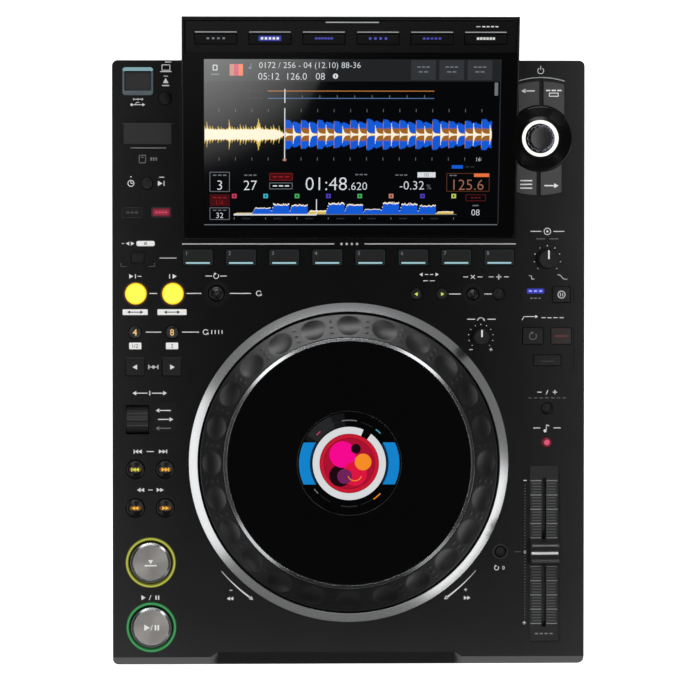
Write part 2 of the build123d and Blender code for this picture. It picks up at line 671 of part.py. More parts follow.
def make_transport_button(name, at):
    """A large round button, stopped under its lit ring."""
    stop = PANEL_UNDER - RING_DEPTH - STOP_GAP
    with BuildPart() as button:
        with BuildSketch(Plane.XY.offset(stop)):
            with Locations(at):
                Circle(TRANSPORT_RADIUS)
        extrude(amount=PANEL_TOP + TRANSPORT_RISE - stop)
        fillet(button.faces().sort_by(Axis.Z)[-1].edges(), TRANSPORT_EDGE)
        with BuildSketch(Plane.XY.offset(stop - FLANGE_THICK)):
            with Locations(at):
                Circle(RING_INNER + FLANGE_LIP)
        extrude(amount=FLANGE_THICK)
    save(button, name)


def make_light_guides():
    """Clear pieces that carry light: the stick frame, the selector's ring and the two button rings."""
    with BuildPart() as guides:
        with BuildSketch(Plane.XY.offset(STICK_FRAME_BASE)):
            with Locations((STICK_X, STICK_FRAME_Y)):
                RectangleRounded(*STICK_FRAME, 2)
            with Locations((STICK_X, STICK_Y)):
                RectangleRounded(STICK_DOOR[0] + 2 * DOOR_GAP, STICK_DOOR[1] + 2 * DOOR_GAP, 0.8,
                                 mode=Mode.SUBTRACT)
        extrude(amount=STICK_FRAME_TOP - STICK_FRAME_BASE)
        with BuildSketch(Plane.XY.offset(PANEL_TOP)):
            with Locations((SELECTOR_X, SELECTOR_Y)):
                Circle(GLOW_OUTER)
                Circle(GLOW_INNER, mode=Mode.SUBTRACT)
        extrude(amount=GLOW_RISE)
        with BuildSketch(Plane.XY.offset(PANEL_UNDER - RING_DEPTH)):
            with Locations(CUE_AT, PLAY_AT):
                Circle(RING_OUTER)
                Circle(RING_INNER, mode=Mode.SUBTRACT)
        extrude(amount=PANEL_TOP + RING_RISE - PANEL_UNDER + RING_DEPTH)
        with BuildSketch(Plane.XY.offset(PANEL_UNDER - RING_DEPTH)):
            with Locations(CUE_AT, PLAY_AT):
                Circle(RING_OUTER + RING_LIP)
                Circle(RING_INNER, mode=Mode.SUBTRACT)
        extrude(amount=RING_DEPTH)
    save(guides, "light_guides")


def make_panel_trims():
    """Plates and rings that lie on the panel or in its wells."""
    with BuildPart() as trims:
        with BuildSketch(Plane.XZ.offset(-SELECTOR_Y)):
            with BuildLine():
                Polyline((SELECTOR_X + SKIRT_INNER, PANEL_TOP), (SELECTOR_X + SKIRT_RADIUS, PANEL_TOP),
                         (SELECTOR_X + SKIRT_RADIUS, PANEL_TOP + SKIRT_RISE),
                         (SELECTOR_X + SKIRT_INNER, PANEL_TOP + SKIRT_TOP), close=True)
            make_face()
        revolve(axis=Axis((SELECTOR_X, SELECTOR_Y, 0), (0, 0, 1)))
        with BuildSketch(Plane.XY.offset(PANEL_TOP)):
            with Locations(SEARCH_TRIMS):
                SlotOverall(*SEARCH_TRIM)
            for key in [KEYS[name] for name in SEARCH_BUTTONS]:
                with Locations((key.x, key.y)):
                    Circle(key.width / 2 + TRIM_GAP, mode=Mode.SUBTRACT)
            for name, radius in RING_TRIMS:
                with Locations((KEYS[name].x, KEYS[name].y)):
                    Circle(radius)
                    Circle(KEYS[name].width / 2 + TRIM_GAP, mode=Mode.SUBTRACT)
        extrude(amount=TRIM_THICK)
        with BuildSketch(Plane.XY.offset(PANEL_TOP - WELL_DEPTH)):
            for x, y, width, length in (MODE_WINDOW, LEVER_LABEL):
                with Locations((x, y)):
                    RectangleRounded(width, length, 1)
        extrude(amount=PLATE_FILL)
        with BuildSketch(Plane.XY.offset(PANEL_TOP - SLIDER_WELL_DEPTH)):
            with Locations((SLIDER_X, SLIDER_WELL_Y)):
                RectangleRounded(*SCALE_PLATE, 1)
            with Locations((SLIDER_X, SLIDER_Y)):
                Rectangle(SLOT_WIDTH, SLOT_LENGTH, mode=Mode.SUBTRACT)
        extrude(amount=SCALE_PLATE_THICK)
    save(trims, "panel_trims")


def make_jog_rim():
    with BuildPart() as rim:
        with BuildSketch(Plane.XZ.offset(-JOG_Y)):
            with BuildLine():
                outer = Line((JOG_X + RIM_INNER, PANEL_TOP), (JOG_X + RIM_OUTER, PANEL_TOP))
                Line(outer @ 1, (JOG_X + RIM_OUTER, PANEL_TOP + RIM_LOW))
                ThreePointArc((JOG_X + RIM_OUTER, PANEL_TOP + RIM_LOW),
                              (JOG_X + (RIM_INNER + 2 * RIM_OUTER) / 3, PANEL_TOP + RIM_HIGH * 0.66),
                              (JOG_X + RIM_INNER + RIM_LOW, PANEL_TOP + RIM_HIGH))
                Polyline((JOG_X + RIM_INNER + RIM_LOW, PANEL_TOP + RIM_HIGH),
                         (JOG_X + RIM_INNER, PANEL_TOP + RIM_HIGH - RIM_LOW), outer @ 0)
            make_face()
        revolve(axis=Axis((JOG_X, JOG_Y, 0), (0, 0, 1)))
    save(rim, "jog_rim")


def make_jog_dial():
    """The grip ring with its dimples, on a web that turns on the hub's post."""
    shelf = DIAL_TOP_Z - SHELF_DEPTH
    with BuildPart() as dial:
        with BuildSketch(Plane.XZ.offset(-JOG_Y)):
            with BuildLine():
                Polyline(
                    (JOG_X + POST_SHAFT + RUNNING_FIT, WEB_Z),
                    (JOG_X + DIAL_RADIUS, WEB_Z),
                    (JOG_X + DIAL_RADIUS, DIAL_EDGE_Z),
                    (JOG_X + DIAL_LIP, DIAL_TOP_Z),
                    (JOG_X + DIAL_LIP, shelf),
                    (JOG_X + SHELF_INNER, shelf),
                    (JOG_X + SHELF_INNER, shelf - DIAL_WALL),
                    (JOG_X + DIAL_LIP, shelf - DIAL_WALL),
                    (JOG_X + DIAL_RADIUS - DIAL_WALL, DIAL_EDGE_Z - DIAL_WALL),
                    (JOG_X + DIAL_RADIUS - DIAL_WALL, WEB_Z + DIAL_WALL),
                    (JOG_X + POST_SHAFT + RUNNING_FIT, WEB_Z + DIAL_WALL),
                    close=True,
                )
            make_face()
        revolve(axis=Axis((JOG_X, JOG_Y, 0), (0, 0, 1)))
        with Locations((JOG_X, JOG_Y, DIMPLE_Z)):
            with PolarLocations(DIMPLE_AT, DIMPLES, start_angle=90):
                Sphere(DIMPLE_RADIUS, mode=Mode.SUBTRACT)
    save(dial, "jog_dial")


def make_jog_ring():
    with BuildPart() as ring:
        with BuildSketch(Plane.XY.offset(DIAL_TOP_Z - SHELF_DEPTH)):
            with Locations((JOG_X, JOG_Y)):
                Circle(CHROME_OUTER)
                Circle(CHROME_INNER, mode=Mode.SUBTRACT)
        extrude(amount=CHROME_HEIGHT)
        chamfer(ring.faces().sort_by(Axis.Z)[-1].edges(), CHROME_EDGE)
    save(ring, "jog_ring")


def make_jog_plate():
    with BuildPart() as plate:
        with BuildSketch(Plane.XY.offset(DIAL_TOP_Z - SHELF_DEPTH)):
            with Locations((JOG_X, JOG_Y)):
                Circle(CHROME_INNER - PLATE_GAP)
                Circle(HUB_RADIUS + HUB_GAP, mode=Mode.SUBTRACT)
        extrude(amount=PLATE_THICK)
    save(plate, "jog_plate")


def make_jog_hub():
    """The fixed post that the dial turns on, with the can of the centre display on top."""
    hub_top = DIAL_TOP_Z - SHELF_DEPTH + PLATE_THICK
    with BuildPart() as post:
        with Locations((JOG_X, JOG_Y, FLOOR_TOP)):
            Cylinder(POST_FOOT, POST_FOOT_THICK, align=(Align.CENTER, Align.CENTER, Align.MIN))
            Cylinder(POST_SHOULDER, WEB_Z - STOP_GAP - FLOOR_TOP,
                     align=(Align.CENTER, Align.CENTER, Align.MIN))
            Cylinder(POST_SHAFT, HUB_BOTTOM - FLOOR_TOP, align=(Align.CENTER, Align.CENTER, Align.MIN))
    with BuildPart() as can:
        with Locations((JOG_X, JOG_Y, HUB_BOTTOM)):
            Cylinder(HUB_RADIUS, hub_top - HUB_BOTTOM - HUB_GLASS,
                     align=(Align.CENTER, Align.CENTER, Align.MIN))
    with BuildPart() as window:
        with Locations((JOG_X, JOG_Y, hub_top - HUB_GLASS)):
            Cylinder(HUB_RADIUS, HUB_GLASS, align=(Align.CENTER, Align.CENTER, Align.MIN))
    save_group("jog_hub", post, can, window)


def notch(grow=0.0, mode=Mode.SUBTRACT):
    """The upright cylinder that clears the selector's skirt at the display's side."""
    with Locations((SELECTOR_X, SELECTOR_Y, PANEL_TOP)):
        Cylinder(SKIRT_RADIUS + NOTCH_GAP + grow, HEIGHT - PANEL_TOP,
                 align=(Align.CENTER, Align.CENTER, Align.MIN), mode=mode)


def make_display_case():
    """The wedge that carries the display over the panel, hollow and open at the top."""
    with BuildPart() as hollow:
        with BuildSketch(Plane.YZ.offset(-DISPLAY_WIDTH / 2 + DISPLAY_WALL)):
            case_section(DISPLAY_WALL)
        extrude(amount=DISPLAY_WIDTH - 2 * DISPLAY_WALL)
        notch(DISPLAY_WALL)
    with BuildPart() as case:
        with BuildSketch(Plane.YZ.offset(-DISPLAY_WIDTH / 2)):
            case_section(0)
        extrude(amount=DISPLAY_WIDTH)
        add(hollow.part, mode=Mode.SUBTRACT)
        notch()
    save(case, "display_case")


def case_section(wall):
    """The wedge's side outline in the open sketch, or its hollow's with a wall."""
    top = SLOPE.offset(-BEZEL_THICK + (1 if wall else 0))
    front = top.from_local_coords((0, wall, 0))
    rear = top.from_local_coords((0, DISPLAY_LENGTH - wall, 0))
    with BuildLine() as outline:
        Polyline((front.Y, PANEL_TOP + wall), (front.Y, front.Z), (rear.Y, rear.Z),
                 (rear.Y, HEIGHT - DISPLAY_BACK + wall), (NECK_REAR - wall, NECK_TOP + wall),
                 (NECK_REAR - wall, PANEL_TOP + wall), close=True)
    make_face(outline.edges())


def make_display_bezel():
    """The frame round the screen, with the seat for the glass and the menu keys' slots."""
    with BuildPart() as bezel:
        with BuildSketch(SLOPE.offset(-BEZEL_THICK)):
            with Locations((0, DISPLAY_LENGTH / 2)):
                RectangleRounded(DISPLAY_WIDTH, DISPLAY_LENGTH, DISPLAY_CORNER)
        extrude(amount=BEZEL_THICK)
        fillet(bezel.edges().filter_by(Axis.X).sort_by(Axis.Y)[:2].sort_by(Axis.Z)[-1], LIP_RADIUS)
        with BuildSketch(SLOPE.offset(-GLASS_THICK)):
            glass_outline(SEAT_GAP)
        extrude(amount=GLASS_THICK, mode=Mode.SUBTRACT)
        with BuildSketch(SLOPE.offset(-BEZEL_THICK)):
            with Locations((0, SCREEN_FRONT + SCREEN_LENGTH / 2)):
                Rectangle(SCREEN_WIDTH + 2 * STOP_GAP, SCREEN_LENGTH + 2 * STOP_GAP)
            with Locations((0, MENU_FRONT + MENU_LENGTH / 2)):
                with GridLocations(MENU_PITCH, 0, MENU_KEYS, 1):
                    Rectangle(MENU_WIDTH + 2 * STOP_GAP, MENU_LENGTH + 2 * STOP_GAP)
        extrude(amount=BEZEL_THICK, mode=Mode.SUBTRACT)
        notch()
    save(bezel, "display_bezel")


def glass_outline(grow=0.0):
    """The glass's outline in the open sketch on the slope, larger by grow all round."""
    with Locations((0, GLASS_FRONT + GLASS_LENGTH / 2)):
        RectangleRounded(GLASS_WIDTH + 2 * grow, GLASS_LENGTH + 2 * grow, DISPLAY_CORNER)


def make_display_panel():
    """The cover glass, with the screen module hung under it."""
    with BuildPart() as glass:
        with BuildSketch(SLOPE.offset(-GLASS_THICK)):
            glass_outline()
        extrude(amount=GLASS_THICK)
        notch(SEAT_GAP)
    with BuildPart() as screen:
        with BuildSketch(SLOPE.offset(-GLASS_THICK - SCREEN_THICK)):
            with Locations((0, SCREEN_FRONT + SCREEN_LENGTH / 2)):
                Rectangle(SCREEN_WIDTH, SCREEN_LENGTH)
        extrude(amount=SCREEN_THICK)
    save_group("display_panel", glass, screen)


def make_selector():
    with BuildPart() as shaft:
        with Locations((SELECTOR_X, SELECTOR_Y, SHAFT_BOTTOM)):
            Cylinder(SHAFT_RADIUS, SHAFT_TOP - SHAFT_BOTTOM, align=(Align.CENTER, Align.CENTER, Align.MIN))
    save(shaft, "selector_shaft")
    with BuildPart() as knob:
        with BuildSketch(Plane.XY.offset(SELECTOR_KNOB_BOTTOM)):
            with Locations((SELECTOR_X, SELECTOR_Y)):
                Circle(SELECTOR_KNOB_RADIUS)
                Circle(SHAFT_RADIUS + RUNNING_FIT, mode=Mode.SUBTRACT)
                with PolarLocations(SELECTOR_KNOB_RADIUS, SELECTOR_FLUTES):
                    Circle(FLUTE_RADIUS, mode=Mode.SUBTRACT)
        extrude(amount=SHAFT_TOP + STOP_GAP - SELECTOR_KNOB_BOTTOM)
        with BuildSketch(Plane.XY.offset(SHAFT_TOP + STOP_GAP)):
            with Locations((SELECTOR_X, SELECTOR_Y)):
                Circle(SELECTOR_KNOB_RADIUS)
                with PolarLocations(SELECTOR_KNOB_RADIUS, SELECTOR_FLUTES):
                    Circle(FLUTE_RADIUS, mode=Mode.SUBTRACT)
        extrude(amount=SELECTOR_KNOB_TOP - SHAFT_TOP - STOP_GAP)
    save(knob, "selector_knob")


def make_knob(name, x, y, skirt, top, height):
    """A turning knob on its shaft, standing a little off the panel."""
    base = PANEL_TOP + KNOB_LIFT
    with BuildPart() as knob:
        with Locations((x, y, SHAFT_BOTTOM)):
            Cylinder(SHAFT_RADIUS, base - SHAFT_BOTTOM, align=(Align.CENTER, Align.CENTER, Align.MIN))
        with Locations((x, y, base)):
            Cylinder(skirt, KNOB_SKIRT, align=(Align.CENTER, Align.CENTER, Align.MIN))
        with BuildSketch(Plane.XY.offset(base + KNOB_SKIRT)):
            with Locations((x, y)):
                Circle(top)
        extrude(amount=height - KNOB_SKIRT)
        fillet(knob.faces().sort_by(Axis.Z)[-1].edges(), KNOB_EDGE)
    save(knob, name)


def make_slider_cap():
    """The tempo slider's cap with its finger valley, and the tang that runs in the slot."""
    half = CAP_SIZE[1] / 2
    with BuildPart() as cap:
        with BuildSketch(Plane.YZ.offset(SLIDER_X - CAP_SIZE[0] / 2)):
            with BuildLine():
                Polyline(
                    (SLIDER_Y - half, CAP_BOTTOM), (SLIDER_Y - half, CAP_SHOULDER),
                    (SLIDER_Y - CAP_CREST, CAP_TOP), (SLIDER_Y - CAP_CREST + CAP_FLAT, CAP_TOP),
                    (SLIDER_Y, CAP_VALLEY), (SLIDER_Y + CAP_CREST - CAP_FLAT, CAP_TOP),
                    (SLIDER_Y + CAP_CREST, CAP_TOP), (SLIDER_Y + half, CAP_SHOULDER),
                    (SLIDER_Y + half, CAP_BOTTOM), close=True,
                )
            make_face()
        extrude(amount=CAP_SIZE[0])
        with BuildSketch(Plane.XY.offset(TANG_BOTTOM)):
            with Locations((SLIDER_X, SLIDER_Y)):
                Rectangle(TANG_WIDTH, TANG_LENGTH)
        extrude(amount=CAP_BOTTOM - TANG_BOTTOM)
    save(cap, "tempo_slider")


def make_lever():
    """The direction lever: a drum segment with three ribs, and pins at its sides."""
    with BuildPart() as lever:
        with Locations(Location((LEVER_X, LEVER_Y, LEVER_AXIS_Z), (0, 90, 0))):
            Cylinder(LEVER_DRUM, LEVER_WIDTH)
        with Locations((LEVER_X, LEVER_Y, LEVER_AXIS_Z - LEVER_EAR_DROP)):
            Box(LEVER_WIDTH, 3 * LEVER_DRUM, LEVER_DRUM,
                align=(Align.CENTER, Align.CENTER, Align.MAX), mode=Mode.SUBTRACT)
        for angle in LEVER_RIB_ANGLES:
            with BuildSketch(Plane.YZ.offset(LEVER_X - LEVER_WIDTH / 2)):
                with Locations(Location((LEVER_Y, LEVER_AXIS_Z, 0), (0, 0, angle))):
                    with Locations((0, LEVER_DRUM - LEVER_RIB)):
                        Rectangle(LEVER_RIB_WIDTH, 4 * LEVER_RIB)
            extrude(amount=LEVER_WIDTH)
        with Locations(Location((LEVER_X, LEVER_Y, LEVER_AXIS_Z), (0, 90, 0))):
            Cylinder(LEVER_PIN, LEVER_WIDTH + 2 * (LEVER_EAR + LEVER_SIDE_GAP))
    save(lever, "direction_lever")


def make_door(name, x, y, size, z):
    """A flap with a round rear edge on the line of its two pins."""
    hinge_y = y + size[1] / 2 - DOOR_THICK / 2
    with BuildPart() as door:
        with Locations((x, hinge_y, z)):
            Box(size[0], size[1] - DOOR_THICK / 2, DOOR_THICK, align=(Align.CENTER, Align.MAX, Align.CENTER))
        with Locations(Location((x, hinge_y, z), (0, 90, 0))):
            Cylinder(DOOR_THICK / 2, size[0])
            Cylinder(DOOR_PIN, size[0] + 2 * DOOR_PIN_LENGTH)
    save(door, name)


def make_circuit_boards():
    """The boards with their switches, controls, readers and chips, each a separate solid."""
    with BuildPart() as boards:
        for x, y, width, length, top, _ in PANEL_BOARDS:
            with BuildSketch(Plane.XY.offset(top - BOARD_THICK)):
                with Locations((x, y)):
                    Rectangle(width, length)
            extrude(amount=BOARD_THICK)
        with BuildSketch(Plane.XY.offset(BOARD_TOP)):
            for key in [k for k in list(KEYS.values()) + SMALL_KEYS if k.board]:
                with Locations((key.x, key.y)):
                    Rectangle(SWITCH_SIDE, SWITCH_SIDE)
            with Locations([(x, y) for x, y in BROWSE_SWITCHES]):
                Rectangle(SWITCH_SIDE, SWITCH_SIDE)
        extrude(amount=SWITCH_HEIGHT)
        with BuildSketch(Plane.XY.offset(TRANSPORT_BOARD_TOP)):
            with Locations(CUE_AT, PLAY_AT):
                Rectangle(2 * SWITCH_SIDE, 2 * SWITCH_SIDE)
        extrude(amount=TRANSPORT_SWITCH)
        # controls whose bushes stand through the panel
        for x, y, top in [(k[0], k[1], BUSH_TOP) for k in KNOBS.values()] + [
                (SELECTOR_X, SELECTOR_Y, ENCODER_BUSH_TOP)]:
            with BuildSketch(Plane.XY.offset(BOARD_TOP)):
                with Locations((x, y)):
                    Rectangle(POT_SIDE, POT_SIDE)
                    Circle(SHAFT_RADIUS + RUNNING_FIT, mode=Mode.SUBTRACT)
            extrude(amount=PANEL_UNDER - BOARD_TOP)
            with BuildSketch(Plane.XY.offset(PANEL_UNDER)):
                with Locations((x, y)):
                    Circle(BUSH_RADIUS)
                    Circle(SHAFT_RADIUS + RUNNING_FIT, mode=Mode.SUBTRACT)
            extrude(amount=top - PANEL_UNDER)
        with BuildSketch(Plane.XY.offset(TRACK_BOTTOM)):
            with Locations((SLIDER_X, SLIDER_Y)):
                Rectangle(*TRACK_BODY)
        extrude(amount=PANEL_UNDER - TRACK_BOTTOM)
        with BuildSketch(Plane.XY.offset(TANG_BOTTOM - 1)):
            with Locations((SLIDER_X, SLIDER_Y)):
                Rectangle(SLOT_WIDTH, SLOT_LENGTH)
        extrude(amount=PANEL_UNDER - TANG_BOTTOM + 1, mode=Mode.SUBTRACT)
        # readers that close the pockets' bottoms
        for (x, y, door, bottom), slot in zip(POCKETS, (CARD_SLOT, STICK_SLOT)):
            with BuildSketch(Plane.XY.offset(bottom - READER_HEIGHT)):
                with Locations((x, y)):
                    Rectangle(door[0] + 2 * (DOOR_GAP + POCKET_WALL), door[1] + 2 * (DOOR_GAP + POCKET_WALL))
            extrude(amount=READER_HEIGHT)
            with BuildSketch(Plane.XY.offset(bottom - READER_HEIGHT + 1)):
                with Locations((x, y)):
                    Rectangle(*slot)
            extrude(amount=READER_HEIGHT - 1, mode=Mode.SUBTRACT)
        # boards on the floor
        for x, y, width, length in FLOOR_BOARDS:
            with BuildSketch(Plane.XY.offset(FLOOR_TOP)):
                with Locations((x, y)):
                    with GridLocations(width - 2 * STANDOFF_INSET, length - 2 * STANDOFF_INSET, 2, 2):
                        Circle(STANDOFF_RADIUS)
            extrude(amount=STANDOFF)
            with BuildSketch(Plane.XY.offset(FLOOR_TOP + STANDOFF)):
                with Locations((x, y)):
                    Rectangle(width, length)
            extrude(amount=BOARD_THICK)
        for x, y, width, length, height in CHIPS + [COIL]:
            with Locations((x, y, FLOOR_TOP + STANDOFF + BOARD_THICK)):
                Box(width, length, height, align=(Align.CENTER, Align.CENTER, Align.MIN))
        for x, y, radius, height in CANS:
            with Locations((x, y, FLOOR_TOP + STANDOFF + BOARD_THICK)):
                Cylinder(radius, height, align=(Align.CENTER, Align.CENTER, Align.MIN))
    save(boards, "circuit_boards")


def make_rear_sockets():
    """The power inlet, the network, computer and phono sockets, each in its hole in the rear wall."""
    with BuildPart() as sockets:
        for x, size, cavity in ((POWER_INLET_X, INLET_SIZE, INLET_CAVITY),
                                (NETWORK_X, NETWORK_SIZE, NETWORK_CAVITY),
                                (COMPUTER_X, COMPUTER_SIZE, COMPUTER_CAVITY)):
            with BuildSketch(Plane.XZ.offset(-BODY_REAR)):
                with Locations((x, SOCKET_Z)):
                    RectangleRounded(*size, 1)
            extrude(amount=SOCKET_BODY)
            with BuildSketch(Plane.XZ.offset(-BODY_REAR)):
                with Locations((x, SOCKET_Z)):
                    RectangleRounded(*cavity, 1)
            extrude(amount=SOCKET_BODY - SOCKET_FLOOR, mode=Mode.SUBTRACT)
        with BuildSketch(Plane.XZ.offset(-BODY_REAR + SOCKET_BODY - SOCKET_FLOOR)):
            with Locations([(POWER_INLET_X + dx, SOCKET_Z + dz) for dx, dz in INLET_PINS]):
                Rectangle(2, 4)
        extrude(amount=-INLET_PIN_LENGTH)
        with BuildSketch(Plane.XZ.offset(-BODY_REAR)):
            with Locations([(x, SOCKET_Z) for x in PHONO_X]):
                Circle(PHONO_BASE)
        extrude(amount=CASE_WALL + 2)
        with BuildSketch(Plane.XZ.offset(-BODY_REAR - PHONO_LENGTH)):
            with Locations([(x, SOCKET_Z) for x in PHONO_X]):
                Circle(PHONO_RADIUS)
        extrude(amount=PHONO_LENGTH)
        with BuildSketch(Plane.XZ.offset(-BODY_REAR - PHONO_LENGTH)):
            with Locations([(x, SOCKET_Z) for x in PHONO_X]):
                Circle(PHONO_BORE)
        extrude(amount=PHONO_LENGTH, mode=Mode.SUBTRACT)
    save(sockets, "rear_sockets")


BROWSE_KEYS = {
    "browse_key_1": (-1, 1),
    "browse_key_2": (1, 1),
    "browse_key_3": (-1, -1),
    "browse_key_4": (1, -1),
}

os.makedirs("parts", exist_ok=True)
make_bottom_case()
make_feet()
make_screws()
make_top_case()
for key_name, key_size in KEYS.items():
    make_cap(key_name, key_size)
for key_name, (key_side, key_row) in BROWSE_KEYS.items():
    make_browse_key(key_name, key_side, key_row)
make_small_keys()
make_transport_button("cue_button", CUE_AT)
make_transport_button("play_button", PLAY_AT)
make_light_guides()
make_panel_trims()
make_jog_rim()
make_jog_dial()
make_jog_ring()
make_jog_plate()
make_jog_hub()
make_display_case()
make_display_bezel()
make_display_panel()
make_selector()
for knob_name, knob_sizes in KNOBS.items():
    make_knob(knob_name, *knob_sizes)
make_slider_cap()
make_lever()
make_door("card_door", CARD_X, CARD_Y, CARD_DOOR, CARD_DOOR_Z)
make_door("stick_door", STICK_X, STICK_Y, STICK_DOOR, STICK_DOOR_Z)
make_circuit_boards()
make_rear_sockets()
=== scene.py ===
"""A tabletop media deck: smooth pieces, finishes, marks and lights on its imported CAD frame.

Sizes are in millimetres unless a name says otherwise. +X is right, +Y runs to the rear, +Z is up.
"""

import math

import bmesh
import bpy
import numpy as np
from mathutils import Matrix, Quaternion, Vector


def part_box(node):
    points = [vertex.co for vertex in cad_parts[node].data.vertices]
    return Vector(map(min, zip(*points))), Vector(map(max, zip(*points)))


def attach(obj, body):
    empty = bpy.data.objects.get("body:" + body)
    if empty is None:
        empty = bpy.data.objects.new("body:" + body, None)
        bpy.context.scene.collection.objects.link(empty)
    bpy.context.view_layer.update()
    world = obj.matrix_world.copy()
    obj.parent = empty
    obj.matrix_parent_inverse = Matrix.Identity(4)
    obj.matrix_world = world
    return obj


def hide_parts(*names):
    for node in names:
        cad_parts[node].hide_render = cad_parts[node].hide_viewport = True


bl_info = {
    "name": "Media deck",
    "version": (1, 0, 0),
    "blender": (4, 5, 0),
    "location": "3D View > Sidebar > Media deck",
    "description": "Smooth pieces, finishes, marks and studio for a tabletop media deck",
    "category": "Object",
}

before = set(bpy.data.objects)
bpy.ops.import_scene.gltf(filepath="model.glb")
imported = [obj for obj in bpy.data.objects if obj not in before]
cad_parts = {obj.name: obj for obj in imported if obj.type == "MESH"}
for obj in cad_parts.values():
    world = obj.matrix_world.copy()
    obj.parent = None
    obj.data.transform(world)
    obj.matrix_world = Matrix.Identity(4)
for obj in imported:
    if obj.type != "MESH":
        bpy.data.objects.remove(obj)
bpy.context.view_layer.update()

MM = 0.001
TAU = 2 * math.pi
MARK_LIFT = 0.04

# Levels and centres of the pieces
PANEL_TOP = 68.0
PLATE_TOP = 67.7
CAP_FOOT = 63.2
TRANSPORT_TOP = 71.3
LIGHT_RING_TOP = 69.2
STICK_FRAME_TOP = 69.3
TILE_TOP = 68.6
SLIDER_CREST = 82.0
SLIDER_VALLEY = 77.65
JOG = (0.0, -83.5)
HUB_TOP = 79.2
SELECTOR = (133.2, 142.3)
CUE = (-138.1, -153.1)
PLAY = (-137.7, -198.3)
SLIDER = (136.5, -146.5)
LEVER = (-147.1, -53.4, 63.5)
VINYL_SPEED = (138.6, 58.3)
JOG_ADJUST = (92.2, 4.2)
STICK_SLOT = (-146.5, 181.8)
POWER_BUTTON = (96.0, 196.5, 44.0)

# The display's slope: x runs across, u runs up the slope from its front lip. The screen's picture is
# drawn in its own units, columns across and rows down, in layers that lie a hair apart.
SLOPE_TILT = math.asin(40.0 / 157.1)
SLOPE_Y = 225.0 - 157.1 * math.cos(SLOPE_TILT) - 4.0 * math.sin(SLOPE_TILT)
SLOPE_Z = 78.0
SCREEN_LEFT = -100.6
SCREEN_RIGHT = 102.7
SCREEN_FRONT = 11.2
SCREEN_REAR = 128.0
SCREEN_COLUMNS = 293
SCREEN_ROWS = 165
SCREEN_LAYER = 0.03


def node_box(name):
    """Lowest and highest corner of a CAD node's box."""
    low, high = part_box(name)
    return np.array(low) / MM, np.array(high) / MM


def node_middle(name):
    """Middle of a CAD node's box in plan, and its highest level."""
    low, high = node_box(name)
    return (low[0] + high[0]) / 2, (low[1] + high[1]) / 2, high[2]


def linear(code):
    """Scene-linear colour of a six-figure web code: ((c + 0.055) / 1.055) to the power 2.4."""
    part = np.array([int(code[i:i + 2], 16) for i in (0, 2, 4)]) / 255
    return tuple(np.where(part > 0.04045, ((part + 0.055) / 1.055) ** 2.4, part / 12.92))


# ---------------------------------------------------------------- surfaces


def grid_faces(rows, columns, close_rows=False, close_columns=True):
    """Quads between each row and the next and each column and the next, as index rows."""
    row = np.arange(rows if close_rows else rows - 1)[:, None]
    column = np.arange(columns if close_columns else columns - 1)[None, :]
    below, beside = (row + 1) % rows, (column + 1) % columns
    corners = [row * columns + column, below * columns + column,
               below * columns + beside, row * columns + beside]
    return np.stack(np.broadcast_arrays(*corners), axis=-1).reshape(-1, 4)


def rounded(corners, steps=4, close=False):
    """Profile with each corner (r, z, d) of reach d replaced by (1-t)^2 S + 2t(1-t) P + t^2 E."""
    corners = [tuple(c) + (0.0,) * (3 - len(c)) for c in corners]
    count = len(corners)
    t = np.linspace(0, 1, steps + 1)[:, None]
    runs = []
    for i, (r, z, reach) in enumerate(corners):
        point = np.array([r, z])
        if reach == 0 or (not close and i in (0, count - 1)):
            runs.append(point[None])
            continue
        before = np.array(corners[i - 1][:2]) - point
        after = np.array(corners[(i + 1) % count][:2]) - point
        start = point + before / np.linalg.norm(before) * min(reach, np.linalg.norm(before) * 0.49)
        end = point + after / np.linalg.norm(after) * min(reach, np.linalg.norm(after) * 0.49)
        runs.append((1 - t) ** 2 * start + 2 * t * (1 - t) * point + t ** 2 * end)
    return np.concatenate(runs)


def turned(centre, profile, segments=96, close=False, ripple=None):
    """Profile (r, z) carried round the upright axis: (x + r cos a, y + r sin a, z).

    A ripple(a, row) gives the share that r grows by at each angle and row."""
    angle = np.arange(segments) * TAU / segments
    radius, height = np.asarray(profile, float).T
    spread = radius[:, None] * np.ones(segments)
    if ripple is not None:
        spread = spread * (1 + ripple(angle[None, :], np.arange(len(radius))[:, None]))
    points = np.stack([centre[0] + spread * np.cos(angle), centre[1] + spread * np.sin(angle),
                       height[:, None] * np.ones(segments)], axis=-1)
    return points.reshape(-1, 3), grid_faces(len(radius), segments, close)


def rounded_rectangle(width, length, corner, arc=5):
    """Anticlockwise outline: four arcs (c cos a, c sin a) round the corners' centres."""
    corner = max(corner, 0.02)
    turn = np.linspace(0, TAU / 4, arc + 1)
    quarter = [(1, 1), (-1, 1), (-1, -1), (1, -1)]
    return np.concatenate([
        np.stack([sx * (width / 2 - corner) + corner * np.cos(turn + k * TAU / 4),
                  sy * (length / 2 - corner) + corner * np.sin(turn + k * TAU / 4)], axis=-1)
        for k, (sx, sy) in enumerate(quarter)])


def circle(radius, steps=64):
    """Outline (r cos a, r sin a)."""
    angle = np.arange(steps) * TAU / steps
    return radius * np.stack([np.cos(angle), np.sin(angle)], axis=-1)


